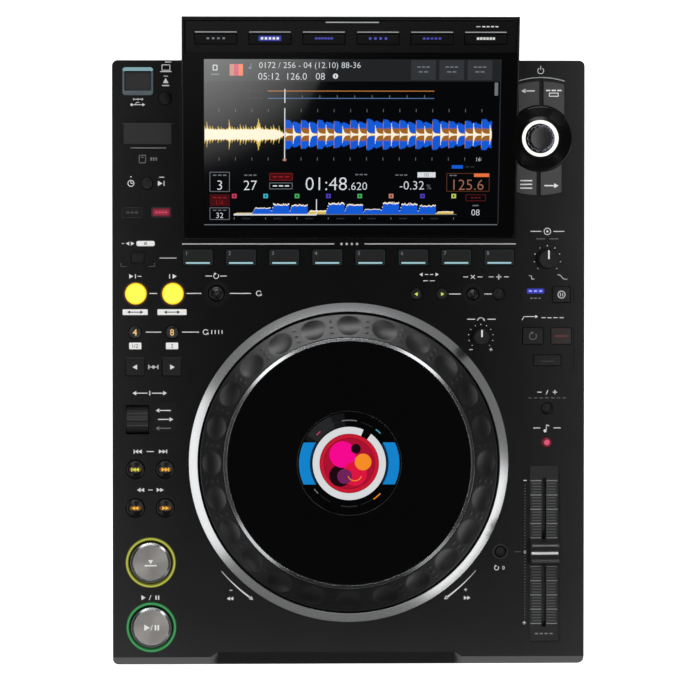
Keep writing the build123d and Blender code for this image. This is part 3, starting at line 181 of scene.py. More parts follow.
def cap(centre, outline, top, bottom, edge, crown=0.0, rings=6):
    """A key's cap: scaled copies of outline(edge) carry z = top + crown (1 - s^2), then a quarter
    round of radius edge leads over outline(edge (1 - sin t)) to the straight side."""
    inner = outline(edge)
    share = np.linspace(0, 1, rings)
    rows = [(inner * s, top + crown * (1 - s * s)) for s in share]
    for t in np.linspace(0, TAU / 4, 6)[1:]:
        rows.append((outline(edge * (1 - math.sin(t))), top - edge * (1 - math.cos(t))))
    rows += [(outline(0.0), bottom), (outline(0.0) * 0, bottom)]
    points = np.stack([np.column_stack([plan + np.array(centre), np.full(len(plan), z)])
                       for plan, z in rows])
    return points.reshape(-1, 3), grid_faces(len(rows), len(inner))


def box_outline(width, length, corner):
    """Outline function of a rounded plan that shrinks by an inset all round."""
    return lambda inset: rounded_rectangle(width - 2 * inset, length - 2 * inset, corner - inset)


def round_outline(radius, steps=64):
    """Outline function of a round plan that shrinks by an inset."""
    return lambda inset: circle(radius - inset, steps)


def on_slope(points, rise):
    """Millimetres of points (x, u) on the display's slope, lifted rise along its normal."""
    x, u = np.asarray(points, float).T
    sine, cosine = math.sin(SLOPE_TILT), math.cos(SLOPE_TILT)
    return np.stack([x, SLOPE_Y + u * cosine - rise * sine, SLOPE_Z + u * sine + rise * cosine], axis=-1)


def on_level(points, level):
    """Millimetres of points (x, y) on a flat level."""
    points = np.asarray(points, float)
    return np.column_stack([points, np.full(len(points), level)])


class Shell:
    """Points and faces of one piece, gathered from surfaces. Each face keeps its finish's number."""

    def __init__(self):
        self.points, self.faces, self.numbers, self.finishes, self.count = [], [], [], [], 0

    def add(self, surface, finish):
        """Joins a surface's points and faces on, under one finish."""
        points, faces = surface
        if finish not in self.finishes:
            self.finishes.append(finish)
        self.points.append(np.asarray(points, float))
        self.faces.extend([[int(i) + self.count for i in face] for face in faces])
        self.numbers.extend([self.finishes.index(finish)] * len(faces))
        self.count += len(points)
        return self

    def piece(self, name, body, slot=None, stands_for=(), sharp=40.0, smooth=True):
        """Makes the mesh in place, merges poles and seams, and puts it on its body."""
        mesh = bpy.data.meshes.new(name)
        mesh.from_pydata((np.concatenate(self.points) * MM).tolist(), [], self.faces)
        for finish in self.finishes:
            mesh.materials.append(bpy.data.materials[finish])
        mesh.polygons.foreach_set("material_index", self.numbers)
        tidy = bmesh.new()
        tidy.from_mesh(mesh)
        bmesh.ops.remove_doubles(tidy, verts=tidy.verts, dist=2e-7)
        tidy.to_mesh(mesh)
        tidy.free()
        mesh.polygons.foreach_set("use_smooth", [smooth] * len(mesh.polygons))
        if smooth:
            mesh.set_sharp_from_angle(angle=math.radians(sharp))
        piece = bpy.data.objects.new(name, mesh)
        bpy.context.scene.collection.objects.link(piece)
        if smooth:
            weights = piece.modifiers.new("even shading", "WEIGHTED_NORMAL")
            weights.keep_sharp = True
        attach(piece, body)
        if stands_for:
            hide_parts(*stands_for)
        return piece


# ---------------------------------------------------------------- marks

FIGURES = {}


def figures(text, weight=0.0):
    """Points and faces of plain figures one unit tall, centred on the origin.

    The weight thickens each stroke, or thins it below zero."""
    if (text, weight) not in FIGURES:
        curve = bpy.data.curves.new("figures", "FONT")
        curve.body, curve.size, curve.resolution_u, curve.offset = text, 1.0, 3, weight
        curve.align_x, curve.align_y = "CENTER", "CENTER"
        holder = bpy.data.objects.new("figures", curve)
        mesh = bpy.data.meshes.new_from_object(holder)
        points = np.array([v.co[:2] for v in mesh.vertices])
        faces = [list(p.vertices) for p in mesh.polygons]
        low, high = points.min(axis=0), points.max(axis=0)
        FIGURES[text, weight] = ((points - (low + high) / 2) / (high[1] - low[1]), faces)
        bpy.data.objects.remove(holder)
        bpy.data.curves.remove(curve)
        bpy.data.meshes.remove(mesh)
    return FIGURES[text, weight]


class Marks:
    """Thin flat marks, gathered by ink, that lie a hair over a flat level or the display's slope."""

    def __init__(self, lay, level):
        self.lay, self.level, self.shell = lay, level, Shell()

    def put(self, ink, points, faces, lift=0.0):
        """Lays points and faces on the level, lift above the lowest marks."""
        self.shell.add((self.lay(points, self.level + MARK_LIFT + lift), faces), ink)
        return self

    def shape(self, ink, points, lift=0.0):
        """One face over an anticlockwise outline."""
        return self.put(ink, np.asarray(points, float), [list(range(len(points)))], lift)

    def bar(self, ink, x, y, width, length, turn=0.0, lift=0.0):
        """A rectangle round (x, y), turned by degrees."""
        corners = np.array([(-1, -1), (1, -1), (1, 1), (-1, 1)]) * (width / 2, length / 2)
        return self.shape(ink, rotated(corners, turn) + (x, y), lift)

    def bars(self, ink, x, y, width, length, lift=0.0):
        """Many upright rectangles at once; each argument is an array or a number."""
        x, y, width, length = np.broadcast_arrays(x, y, width, length)
        signs = np.array([(-1, -1), (1, -1), (1, 1), (-1, 1)]) / 2
        points = np.stack([x[:, None] + signs[:, 0] * width[:, None],
                           y[:, None] + signs[:, 1] * length[:, None]], axis=-1).reshape(-1, 2)
        return self.put(ink, points, np.arange(len(points)).reshape(-1, 4), lift)

    def dashes(self, ink, x, y, gap, count, width, length, lift=0.0):
        """A row of equal bars, gap apart from middle to middle, centred on (x, y)."""
        return self.bars(ink, x + (np.arange(count) - (count - 1) / 2) * gap, y, width, length, lift)

    def plate(self, ink, x, y, width, length, corner, lift=0.0):
        """A rounded rectangle round (x, y)."""
        return self.shape(ink, rounded_rectangle(width, length, corner) + (x, y), lift)

    def disc(self, ink, x, y, radius, lift=0.0, steps=40):
        """A round face (x + r cos a, y + r sin a)."""
        return self.shape(ink, circle(radius, steps) + (x, y), lift)

    def band(self, ink, x, y, outer, inner, start=0.0, end=360.0, lift=0.0, steps=72):
        """Part of a ring from start to end, in degrees anticlockwise from +X."""
        angle = np.radians(np.linspace(start, end, steps + 1))
        ring = np.stack([np.cos(angle), np.sin(angle)], axis=-1)
        points = np.concatenate([ring * inner, ring * outer]) + (x, y)
        return self.put(ink, points, grid_faces(2, steps + 1, close_columns=False), lift)

    def frame(self, ink, x, y, width, length, corner, line, lift=0.0):
        """A closed line just inside a rounded rectangle."""
        outer = rounded_rectangle(width, length, corner)
        inner = rounded_rectangle(width - 2 * line, length - 2 * line, corner - line)
        points = np.concatenate([inner, outer]) + (x, y)
        return self.put(ink, points, grid_faces(2, len(outer)), lift)

    def triangle(self, ink, x, y, size, turn=0.0, lift=0.0):
        """An arrow head that points to +X before its turn."""
        corners = np.array([(0.6, 0), (-0.4, 0.58), (-0.4, -0.58)]) * size
        return self.shape(ink, rotated(corners, turn) + (x, y), lift)

    def figures(self, ink, text, x, y, height, lift=0.0):
        """Plain figures of a height, centred on (x, y)."""
        points, faces = figures(text)
        return self.put(ink, points * height + (x, y), faces, lift)

    def stroke(self, ink, points, width, lift=0.0):
        """A band of even width along a run of points: each point moves half a width aside."""
        points = np.asarray(points, float)
        along = np.gradient(points, axis=0)
        aside = np.column_stack([-along[:, 1], along[:, 0]])
        aside *= width / 2 / np.linalg.norm(aside, axis=1)[:, None]
        rows = np.concatenate([points + aside, points - aside])
        return self.put(ink, rows, grid_faces(2, len(points), close_columns=False), lift)


def rotated(points, turn):
    """Points turned by degrees round the origin."""
    a = math.radians(turn)
    return np.asarray(points) @ np.array([[math.cos(a), math.sin(a)], [-math.sin(a), math.cos(a)]])


# ---------------------------------------------------------------- finishes


def new_group(name, inputs, outputs):
    """An empty shader node group with named inputs (name, kind, default) and outputs (name, kind)."""
    group = bpy.data.node_groups.new(name, "ShaderNodeTree")
    for label, kind, default in inputs:
        socket = group.interface.new_socket(name=label, in_out="INPUT", socket_type="NodeSocket" + kind)
        if default is not None:
            socket.default_value = default
    for label, kind in outputs:
        group.interface.new_socket(name=label, in_out="OUTPUT", socket_type="NodeSocket" + kind)
    return group, group.nodes.new("NodeGroupInput"), group.nodes.new("NodeGroupOutput")


def add_node(tree, kind, links, **settings):
    """A node with its settings; links joins sockets by name or number."""
    node = tree.nodes.new(kind)
    for key, value in settings.items():
        setattr(node, key, value)
    for key, value in links.items():
        if isinstance(value, bpy.types.NodeSocket):
            tree.links.new(value, node.inputs[key])
        else:
            node.inputs[key].default_value = value
    return node


def make_grain_group():
    """Moulded grain: fine noise gives height and roughness, broad noise shifts the tone."""
    group, given, out = new_group(
        "Moulded grain",
        [("Vector", "Vector", None), ("Colour", "Color", (0.5, 0.5, 0.5, 1)), ("Grain", "Float", 1500.0),
         ("Tone Shift", "Float", 0.1), ("Roughness", "Float", 0.5), ("Roughness Shift", "Float", 0.1)],
        [("Colour", "Color"), ("Roughness", "Float"), ("Height", "Float")])
    fine = add_node(group, "ShaderNodeTexNoise", {"Vector": given.outputs["Vector"],
                                                  "Scale": given.outputs["Grain"], "Detail": 3.0})
    broad = add_node(group, "ShaderNodeTexNoise", {"Vector": given.outputs["Vector"], "Scale": 34.0,
                                                   "Detail": 4.0, "Roughness": 0.6})
    both = add_node(group, "ShaderNodeMath", {0: broad.outputs["Fac"], 1: fine.outputs["Fac"]},
                    operation="ADD")
    centred = add_node(group, "ShaderNodeMath", {0: both.outputs[0], 1: 1.0}, operation="SUBTRACT")
    gain = add_node(group, "ShaderNodeMath", {0: centred.outputs[0], 1: given.outputs["Tone Shift"], 2: 1.0},
                    operation="MULTIPLY_ADD")
    toned = add_node(group, "ShaderNodeVectorMath", {0: given.outputs["Colour"], "Scale": gain.outputs[0]},
                     operation="SCALE")
    rough = add_node(group, "ShaderNodeMath", {0: centred.outputs[0], 1: given.outputs["Roughness Shift"],
                                               2: given.outputs["Roughness"]},
                     operation="MULTIPLY_ADD", use_clamp=True)
    group.links.new(toned.outputs[0], out.inputs["Colour"])
    group.links.new(rough.outputs[0], out.inputs["Roughness"])
    group.links.new(fine.outputs["Fac"], out.inputs["Height"])


def make_turned_group():
    """Turned grooves: height is the sine of the distance from the axis over the spacing."""
    group, given, out = new_group(
        "Turned grooves", [("Vector", "Vector", None), ("Spacing", "Float", 0.0003)], [("Height", "Float")])
    apart = add_node(group, "ShaderNodeSeparateXYZ", {0: given.outputs["Vector"]})
    flat = add_node(group, "ShaderNodeCombineXYZ", {0: apart.outputs[0], 1: apart.outputs[1], 2: 0.0})
    radius = add_node(group, "ShaderNodeVectorMath", {0: flat.outputs[0]}, operation="LENGTH")
    turns = add_node(group, "ShaderNodeMath", {0: radius.outputs["Value"], 1: given.outputs["Spacing"]},
                     operation="DIVIDE")
    phase = add_node(group, "ShaderNodeMath", {0: turns.outputs[0], 1: TAU}, operation="MULTIPLY")
    wave = add_node(group, "ShaderNodeMath", {0: phase.outputs[0]}, operation="SINE")
    uneven = add_node(group, "ShaderNodeTexNoise", {"W": turns.outputs[0], "Scale": 0.37, "Detail": 2.0},
                      noise_dimensions="1D")
    total = add_node(group, "ShaderNodeMath", {0: wave.outputs[0], 1: 0.5, 2: uneven.outputs["Fac"]},
                     operation="MULTIPLY_ADD")
    group.links.new(total.outputs[0], out.inputs["Height"])


def use_group(tree, name, links):
    """Places a node group in a material's tree with its own values."""
    return add_node(tree, "ShaderNodeGroup", links, node_tree=bpy.data.node_groups[name])


def new_finish(name, **constants):
    """A Principled material whose constants sit on the shader's own sockets."""
    material = bpy.data.materials.new(name)
    material.use_nodes = True
    shader = material.node_tree.nodes["Principled BSDF"]
    for socket, value in constants.items():
        label = socket.replace("_", " ").replace("Ior", "IOR")
        shader.inputs[label].default_value = (*value, 1.0) if isinstance(value, tuple) else value
    return material, material.node_tree, shader


def moulded(name, colour, roughness, grain=1500.0, depth=1e-5, tone=0.1, spread=0.12, **constants):
    """A moulded or painted finish: tone, roughness and bump from the grain group."""
    _, tree, shader = new_finish(name, **constants)
    place = tree.nodes.new("ShaderNodeTexCoord")
    group = use_group(tree, "Moulded grain", {
        "Vector": place.outputs["Object"], "Colour": (*colour, 1.0), "Grain": grain,
        "Tone Shift": tone, "Roughness": roughness, "Roughness Shift": spread})
    bump = add_node(tree, "ShaderNodeBump", {"Height": group.outputs["Height"], "Strength": 0.6,
                                             "Distance": depth})
    tree.links.new(group.outputs["Colour"], shader.inputs["Base Color"])
    tree.links.new(group.outputs["Roughness"], shader.inputs["Roughness"])
    tree.links.new(bump.outputs[0], shader.inputs["Normal"])


def spun(name, centre, colour, roughness, spacing, depth):
    """Turned metal: grooves round its own axis tilt the normal, so light gathers in sectors."""
    _, tree, shader = new_finish(name, Metallic=1.0, Anisotropic=0.85)
    around = add_node(tree, "ShaderNodeTangent", {}, direction_type="RADIAL", axis="Z")
    tree.links.new(around.outputs[0], shader.inputs["Tangent"])
    place = tree.nodes.new("ShaderNodeTexCoord")
    shift = add_node(tree, "ShaderNodeMapping", {"Vector": place.outputs["Object"],
                                                 "Location": (-centre[0] * MM, -centre[1] * MM, 0.0)})
    grooves = use_group(tree, "Turned grooves", {"Vector": shift.outputs[0], "Spacing": spacing})
    grain = use_group(tree, "Moulded grain", {
        "Vector": place.outputs["Object"], "Colour": (*colour, 1.0), "Grain": 2600.0,
        "Tone Shift": 0.05, "Roughness": roughness, "Roughness Shift": 0.08})
    bump = add_node(tree, "ShaderNodeBump", {"Height": grooves.outputs[0], "Strength": 1.0,
                                             "Distance": depth})
    tree.links.new(grain.outputs["Colour"], shader.inputs["Base Color"])
    tree.links.new(grain.outputs["Roughness"], shader.inputs["Roughness"])
    tree.links.new(bump.outputs[0], shader.inputs["Normal"])


def lit(name, code, strength=1.0, base=0.2, roughness=0.35, gloss=0.3):
    """A lit surface: the light's colour on the shader, over a body that is base times as bright."""
    colour = linear(code)
    new_finish(name, Base_Color=tuple(c * base for c in colour), Roughness=roughness,
               Specular_IOR_Level=gloss, Emission_Color=colour, Emission_Strength=strength)


# Moulded, painted and plated finishes: web code, roughness, and what differs from the usual grain
MOULDED = {
    "bezel gloss": ("080809", 0.2, dict(grain=260.0, depth=4e-6, tone=0.05, spread=0.04,
                                        Specular_IOR_Level=0.06)),
    "cover glass": ("080809", 0.1, dict(grain=200.0, depth=2e-6, tone=0.03, spread=0.02,
                                        Specular_IOR_Level=0.03)),
    "rim silver": ("b4b5b6", 0.25, dict(grain=2600.0, depth=4e-7, tone=0.02, spread=0.02, Metallic=1.0)),
    "polished chrome": ("b0b2b4", 0.18, dict(grain=500.0, depth=4e-7, tone=0.03, spread=0.03,
                                             Metallic=1.0)),
    "plate gloss": ("070708", 0.06, dict(grain=240.0, depth=3e-6, tone=0.05, spread=0.03)),
    "window gloss": ("050506", 0.05, dict(grain=240.0, depth=2e-6, tone=0.03, spread=0.02)),
    "trim gloss": ("0c0c0d", 0.22, dict(grain=300.0, depth=4e-6, tone=0.05, spread=0.04,
                                        Specular_IOR_Level=0.2)),
    "well satin": ("070708", 0.36, dict(Specular_IOR_Level=0.15)),
    "key gloss": ("0c0c0d", 0.24, dict(grain=420.0, depth=5e-6, tone=0.05, spread=0.04,
                                       Specular_IOR_Level=0.3)),
    "key matte": ("0a0a0b", 0.34, dict(grain=1700.0, Specular_IOR_Level=0.2)),
    "key grey": ("303032", 0.38, dict(grain=1700.0)),
    "pad rubber": ("0e0f10", 0.44, dict(Specular_IOR_Level=0.2)),
    "knob rubber": ("0a0a0b", 0.34, dict(grain=1400.0, Specular_IOR_Level=0.22)),
    "fader black": ("1f1f20", 0.34, dict(grain=1600.0)),
    "lever grey": ("1b1b1d", 0.38, dict(grain=1600.0, Specular_IOR_Level=0.35)),
    "door grey": ("171719", 0.4, dict(grain=1600.0, Specular_IOR_Level=0.35)),
    "frame grey": ("4c5a60", 0.34, dict(grain=900.0)),
    "chassis coat": ("151516", 0.48, dict(grain=1300.0, depth=6e-5)),
    "socket black": ("151516", 0.38, {}),
    "foot rubber": ("141414", 0.68, dict(grain=900.0, depth=8e-5)),
    "board green": ("071a10", 0.38, dict(grain=700.0, depth=2e-5)),
    "screw zinc": ("9a9c9e", 0.32, dict(Metallic=1.0)),
    "selector black": ("131316", 0.24, dict(grain=500.0, depth=4e-6, spread=0.05)),
    "selector chrome": ("8286a0", 0.16, dict(grain=500.0, depth=3e-6, spread=0.05, Metallic=1.0)),
    "skirt gloss": ("0a0a0b", 0.14, dict(grain=300.0, depth=4e-6, tone=0.05, spread=0.04,
                                         Specular_IOR_Level=0.35)),
    "menu gloss": ("08080a", 0.22, dict(grain=300.0, depth=4e-6, tone=0.05, spread=0.04,
                                        Specular_IOR_Level=0.05)),
}

# Printed inks and flat tints, as web codes; glow ember and glow orange are painted glow round the lit loop
# keys
INKS = {
    "white ink": "e2e2e0", "grey ink": "6e7072", "silver line": "b0b3b5", "dim ink": "3c3d3f",
    "blank label": "f4f4f2", "scale grey": "161617", "tick grey": "4e4f51", "tick light": "848688",
    "glow ember": "26100a", "glow orange": "5c2608", "teal line": "102a30", "edge line": "2e2f31",
    "well grey": "151516",
}
# Lit surfaces, as web codes
LIGHTS = {
    "screen ground": "030406", "screen bar": "202224", "screen button": "313336",
    "screen white": "d6dade", "screen grey": "6c7176", "screen dim": "2a2e32", "screen red": "8c1a20",
    "screen deep red": "400c10", "screen maroon": "5e1a1e", "screen rust": "5a3420",
    "screen clay": "9a6450", "screen orange": "b8743a", "screen brown": "9a6226",
    "screen steel": "4c6ea0", "screen tag": "e8703a", "screen cream": "fdf0d6",
    "screen yellow": "d8b850", "screen blue": "1258d0", "screen cyan": "3fb0c4",
    "screen pink": "c83a60", "screen green": "3fae58", "screen purple": "4a3cb4",
    "screen lime": "b8c860", "screen rose": "c07a64", "wheel crimson": "a80f30",
    "wheel magenta": "f0068c", "wheel orange": "f08a24", "wheel plum": "6e2058",
    "wheel night": "1c0510", "wheel rose": "d8143c", "jog deep blue": "0a3050", "jog blue": "1280c8",
    "jog white": "d4d6d8", "jog red": "c01830", "jog grey": "242526", "jog shade": "151516",
    # The loop keys' edge glow is a painted shade: deeper and darker than their lit middle
    "pad cyan": "93b9c2", "loop yellow": "fdf646", "loop edge": "f8d024", "cue light": "a4a83c",
    "play light": "2f8a48", "cue shade": "5c5e1c", "play shade": "1d5430", "icon amber": "eab038",
    "icon glow": "6a3c06", "icon lime": "c0d848", "key red": "6a0e28", "key crimson": "8e1a34",
    "key dim red": "160b0b", "key ember": "4a2220", "key pink": "cc4868", "key wine": "58101e",
    # The stick frame's light is its glow and a painted highlight, lit on the rear band only
    "stick light": "769aa2", "ring white": "f0f0ea", "mode blue": "20289a", "mode light": "8c94f4",
    "number amber": "f2c87c", "menu blue": "3c40a8",
}
# Lights that are stronger than 1
LIGHT_STRENGTHS = {"loop yellow": 1.1, "ring white": 1.1}


def make_finishes(colours):
    """Every material of the deck, from the chosen colours, the tables above and the two shared groups."""
    make_grain_group()
    make_turned_group()
    moulded("panel matte", tuple(colours.panel), 0.17, grain=1900.0, depth=4e-6, tone=0.12, spread=0.03,
            Specular_IOR_Level=0.36)
    moulded("case satin", tuple(colours.wedge), 0.36, grain=1700.0, Specular_IOR_Level=0.12)
    moulded("dial black", tuple(colours.dial), 0.3, grain=2100.0, depth=5e-6, Specular_IOR_Level=0.5)
    for name, (code, roughness, settings) in MOULDED.items():
        moulded(name, linear(code), roughness, **settings)
    for name, centre in (("cue metal", CUE), ("play metal", PLAY)):
        spun(name, centre, tuple(colours.metal), 0.34, 0.0009, 6e-6)
    for name, code in INKS.items():
        moulded(name, linear(code), 0.42, grain=1200.0, tone=0.04, Specular_IOR_Level=0.25)
    for name, code in LIGHTS.items():
        strength = LIGHT_STRENGTHS.get(name, 1.0)
        if name.startswith(("screen", "wheel", "jog")):
            lit(name, code, strength, base=0.05, roughness=0.03, gloss=0.9)
        else:
            lit(name, code, strength)


NODE_FINISHES = {
    "bottom_case": "chassis coat", "top_case": "panel matte", "display_case": "case satin",
    "display_bezel": "bezel gloss", "display_panel": "cover glass", "jog_hub": "window gloss",
    "circuit_boards": "board green", "rear_sockets": "socket black", "feet": "foot rubber",
    "screws": "screw zinc", "small_keys": "key matte", "panel_trims": "trim gloss",
    **{f"browse_key_{number}": "key grey" for number in range(1, 5)},
    "card_door": "door grey", "stick_door": "door grey", "selector_shaft": "screw zinc",
}


def dress_nodes():
    """Gives each CAD node that stays in view its finish."""
    for name, finish in NODE_FINISHES.items():
        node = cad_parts[name]
        node.data.materials.clear()
        node.data.materials.append(bpy.data.materials[finish])


# ---------------------------------------------------------------- jog wheel

# Dimples and teeth: grid steps a dimple, ring radii, and half sizes round the wheel and outwards
DIMPLE_STEPS = 26
DIMPLE_RING = 95.6
DIMPLE_REACH = (8.8, 6.7)
TOOTH_RINGS = (91.6, 95.6, 99.6)
TOOTH_REACH = (1.0, 0.8)
RING_SEGMENTS = 256


def dial_surface(sizes):
    """The grip ring's closed profile carried round its axis.

    On the cone between lip and edge, z falls in a straight line. Each dimple takes depth (1 - e^2), not
    below 0, off it, where e is the oval distance from the dimple's middle. Midway between two dimples
    stand small teeth, which add their height (1 - t^2) in the same way."""
    dimples, depth, height = sizes.dimples, sizes.dimple_depth / MM, sizes.tooth_height / MM
    columns = dimples * DIMPLE_STEPS
    lip, edge = np.array([87.7, 78.3]), np.array([103.4, 71.95])
    cone = lip + (edge - lip) * np.linspace(0, 1, 42)[:, None]
    lead = rounded([(79.0, 73.6), (79.0, 76.6), (87.7, 76.6), (87.7, 78.3)])
    tail = np.array([(103.9, 71.6), (104.2, 71.0), (104.3, 70.0), (104.3, 62.0), (12.05, 62.0),
                     (12.05, 65.0), (101.3, 65.0), (101.3, 68.6), (87.7, 73.6)])
    cone[0] += (0.25, -0.1)
    profile = np.concatenate([lead[:-1], [lip + (0.0, -0.35)], cone, tail])
    points, faces = turned(JOG, profile, columns, close=True)
    points = points.reshape(len(profile), columns, 3)
    angle = np.arange(columns) * TAU / columns
    start = len(lead)
    rows = slice(start, start + len(cone))
    radius = profile[rows, 0][:, None]
    away = (angle - TAU / 4 + TAU / dimples / 2) % (TAU / dimples) - TAU / dimples / 2
    across, along = DIMPLE_REACH
    oval = (away[None, :] * DIMPLE_RING / across) ** 2 + ((radius - DIMPLE_RING) / along) ** 2
    bowl = depth * np.clip(1 - oval, 0, 1)
    half = (angle - TAU / 4) % (TAU / dimples) - TAU / dimples / 2
    for ring in TOOTH_RINGS:
        tooth = (half[None, :] * ring / TOOTH_REACH[0]) ** 2 + ((radius - ring) / TOOTH_REACH[1]) ** 2
        bowl = bowl - height * np.clip(1 - tooth, 0, 1)
    tilt = math.atan2(lip[1] - edge[1], edge[0] - lip[0])
    points[rows, :, 0] -= bowl * math.sin(tilt) * np.cos(angle)
    points[rows, :, 1] -= bowl * math.sin(tilt) * np.sin(angle)
    points[rows, :, 2] -= bowl * math.cos(tilt)
    return points.reshape(-1, 3), faces


def make_jog_wheel(sizes):
    """Rim, grip ring, chrome ring and plate. The rim's top bows as (1-t)^2 S + 2t(1-t) P + t^2 E."""
    t = np.linspace(0, 1, 9)[:, None]
    bow = (1 - t) ** 2 * (105.5, 72.5) + 2 * t * (1 - t) * np.array((108.5, 70.6)) + t ** 2 * (111.4, 68.5)
    rim = np.concatenate([[(105.2, 68.0), (105.2, 72.2)], bow, [(111.4, 68.0)]])
    Shell().add(turned(JOG, rim, RING_SEGMENTS, close=True), "rim silver").piece(
        "jog_rim_ring", "case", "rim_metal", ["jog_rim"])
    Shell().add(dial_surface(sizes), "dial black").piece(
        "jog_grip_ring", "jog_wheel", "dial_rubber", ["jog_dial"], sharp=50)
    chrome = rounded([(85.1, 76.6), (85.1, 79.8, 0.12), (87.4, 79.05, 0.12), (87.4, 76.6)], close=True)
    Shell().add(turned(JOG, chrome, RING_SEGMENTS, close=True), "polished chrome").piece(
        "jog_chrome_ring", "jog_wheel", "jog_chrome", ["jog_ring"])
    plate = rounded([(36.0, 76.6), (36.0, 79.2, 0.4), (85.0, 79.2, 0.3), (85.0, 76.6)], close=True)
    Shell().add(turned(JOG, plate, 192, close=True), "plate gloss").piece(
        "jog_top_plate", "jog_wheel", "plate_gloss", ["jog_plate"])


def make_jog_display():
    """The lit marks on the fixed window in the middle of the wheel."""
    marks = Marks(on_level, HUB_TOP)
    x, y = JOG
    for side in (-1, 1):
        turn = np.linspace(-1, 1, 25)
        for ink, outer, inner, half in (("jog deep blue", 28.4, 26.2, 13.6), ("jog blue", 34.9, 27.4, 14.6)):
            outer_turn, inner_turn = math.asin(half / outer) * turn, math.asin(half / inner) * turn
            rows = np.concatenate([
                inner * np.stack([side * np.cos(inner_turn), np.sin(inner_turn)], axis=-1),
                outer * np.stack([side * np.cos(outer_turn), np.sin(outer_turn)], axis=-1)]) + JOG
            faces = grid_faces(2, len(turn), close_columns=False)
            lift = 0.02 if ink == "jog blue" else 0.0
            marks.put(ink, rows, faces if side > 0 else faces[:, ::-1], lift=lift)
    marks.band("jog white", x, y, 25.5, 20.7, 67, 413.5, steps=120)
    marks.band("jog red", x, y, 20.5, 17.7, steps=96)
    marks.band("jog shade", x, y, 35.2, 25.7, 96, 152, steps=40)
    marks.band("jog grey", x, y, 35.2, 26.6, 112, 146, lift=0.02, steps=30)
    for start, end, ink in ((80, 100, "screen grey"), (132, 139, "screen pink"), (44, 52, "screen cyan"),
                            (216, 224, "screen grey"), (304, 316, "wheel orange"), (259, 281, "screen dim")):
        marks.band(ink, x, y, 30.4, 29.7, start, end, lift=0.04, steps=12)
    for start in (105, 58, 228, 286):
        marks.band("screen dim", x, y, 29.9, 29.6, start, start + 16, lift=0.04, steps=12)
    # A plain cluster of discs in the middle
    marks.disc("wheel crimson", x, y, 17.5, steps=72)
    marks.disc("wheel night", x - 6.4, y - 8.6, 7.6, lift=0.03, steps=48)
    marks.disc("wheel magenta", x - 4.6, y + 6.2, 9.2, lift=0.05, steps=56)
    marks.disc("wheel rose", x + 3.8, y - 7.2, 8.4, lift=0.06, steps=56)
    marks.disc("wheel orange", x + 9.6, y + 1.0, 5.8, lift=0.07, steps=48)
    marks.disc("wheel plum", x - 3.2, y - 9.0, 5.2, lift=0.08, steps=48)
    marks.disc("wheel night", x + 4.6, y + 10.2, 3.4, lift=0.09, steps=40)
    marks.band("wheel orange", x + 3.8, y - 7.2, 5.2, 4.6, 200, 340, lift=0.1, steps=30)
    marks.shell.piece("jog_window_marks", "case", "light_guide", smooth=False)


# ---------------------------------------------------------------- keys


# Key: corner radius (0 is round), top edge radius, crown, and its finish or those of middle and rest; on the
# loop keys the rest is a painted shade, a deeper glow on the rounded edge
CAPS = {
    "in": (0, 1.4, 0.5, ("loop yellow", "loop edge")), "out": (0, 1.4, 0.5, ("loop yellow", "loop edge")),
    "reloop": (0, 2.2, 1.0, "key gloss"), "delete": (0, 2.0, 0.8, "key gloss"),
    "loop_four": (0, 1.0, 0.4, "key gloss"), "loop_eight": (0, 1.0, 0.4, "key gloss"),
    "jump_back": (1.2, 0.5, 0.1, "key matte"), "jump_forward": (1.2, 0.5, 0.1, "key matte"),
    "track_back": (0, 1.6, 0.9, "key gloss"), "track_forward": (0, 1.6, 0.9, "key gloss"),
    "search_back": (0, 1.6, 0.9, "key gloss"), "search_forward": (0, 1.6, 0.9, "key gloss"),
    "jog_mode": (1.2, 0.5, 0.1, "key matte"), "sync": (1.2, 0.5, 0.1, "key matte"),
    "master": (1.2, 0.5, 0.1, "key dim red"), "key_sync": (1.2, 0.5, 0.1, "key matte"),
    "call_back": (0, 1.0, 0.3, "key matte"), "call_forward": (0, 1.0, 0.3, "key matte"),
    "memory": (0, 1.2, 0.5, "key matte"), "tempo_range": (0, 1.2, 0.5, "key matte"),
    "master_tempo": (0, 1.0, 0.4, ("key pink", "key wine")),
}
FLANGE_LIP = 0.9
LOOP_KEYS = ("in", "out")


def key_plan(name):
    """Middle, width, length and top of a key's cap, from its node's box less the hidden flange."""
    low, high = node_box(name)
    x, y, top = node_middle(name)
    width, length, _ = high - low - 2 * FLANGE_LIP
    return x, y, width, length, top


def make_caps():
    """The round and square keys, each a crowned cap on its flange. A pair of finishes lights its middle; on
    the loop keys the rest is a painted shade on the glowing edge.
    """
    for name, (corner, edge, crown, finish) in CAPS.items():
        node = name + "_button"
        x, y, width, length, top = key_plan(node)
        outline = box_outline(width, length, corner) if corner else round_outline(width / 2)
        middle, rest = (finish, finish) if isinstance(finish, str) else finish
        points, faces = cap((x, y), outline, top - crown, CAP_FOOT, edge, crown)
        # On the loop keys the faces past the lit middle take the painted shade of the rounded edge
        lit_rows = 6 if name in LOOP_KEYS else 4
        lit_faces = lit_rows * len(outline(0.0))
        shell = Shell().add((points, faces[:lit_faces]), middle).add((points, faces[lit_faces:]), rest)
        slot = "loop_light" if name in LOOP_KEYS else "key_matte" if "matte" in middle else "key_gloss"
        shell.piece(node + "_cap", node, slot, [node], sharp=60)


def make_pads():
    """Eight rubber pads, each with its lit strip and its figure."""
    for number in range(1, 9):
        node = f"cue_pad_{number}"
        x, y, width, length, top = key_plan(node)
        Shell().add(cap((x, y), box_outline(width, length, 1.2), top, CAP_FOOT, 0.5), "pad rubber").piece(
            node + "_cap", node, "pad", [node], sharp=60)
        marks = Marks(on_level, top)
        marks.frame("teal line", x, y, 20.0, 10.5, 0.8, 0.35)
        marks.plate("pad cyan", x, y - 3.8, 16.7, 1.15, 0.3, lift=0.02)
        marks.figures("tick light", str(number), x - 7.9, y + 3.0, 2.6, lift=0.02)
        marks.shell.piece(node + "_marks", node, "pad", smooth=False)


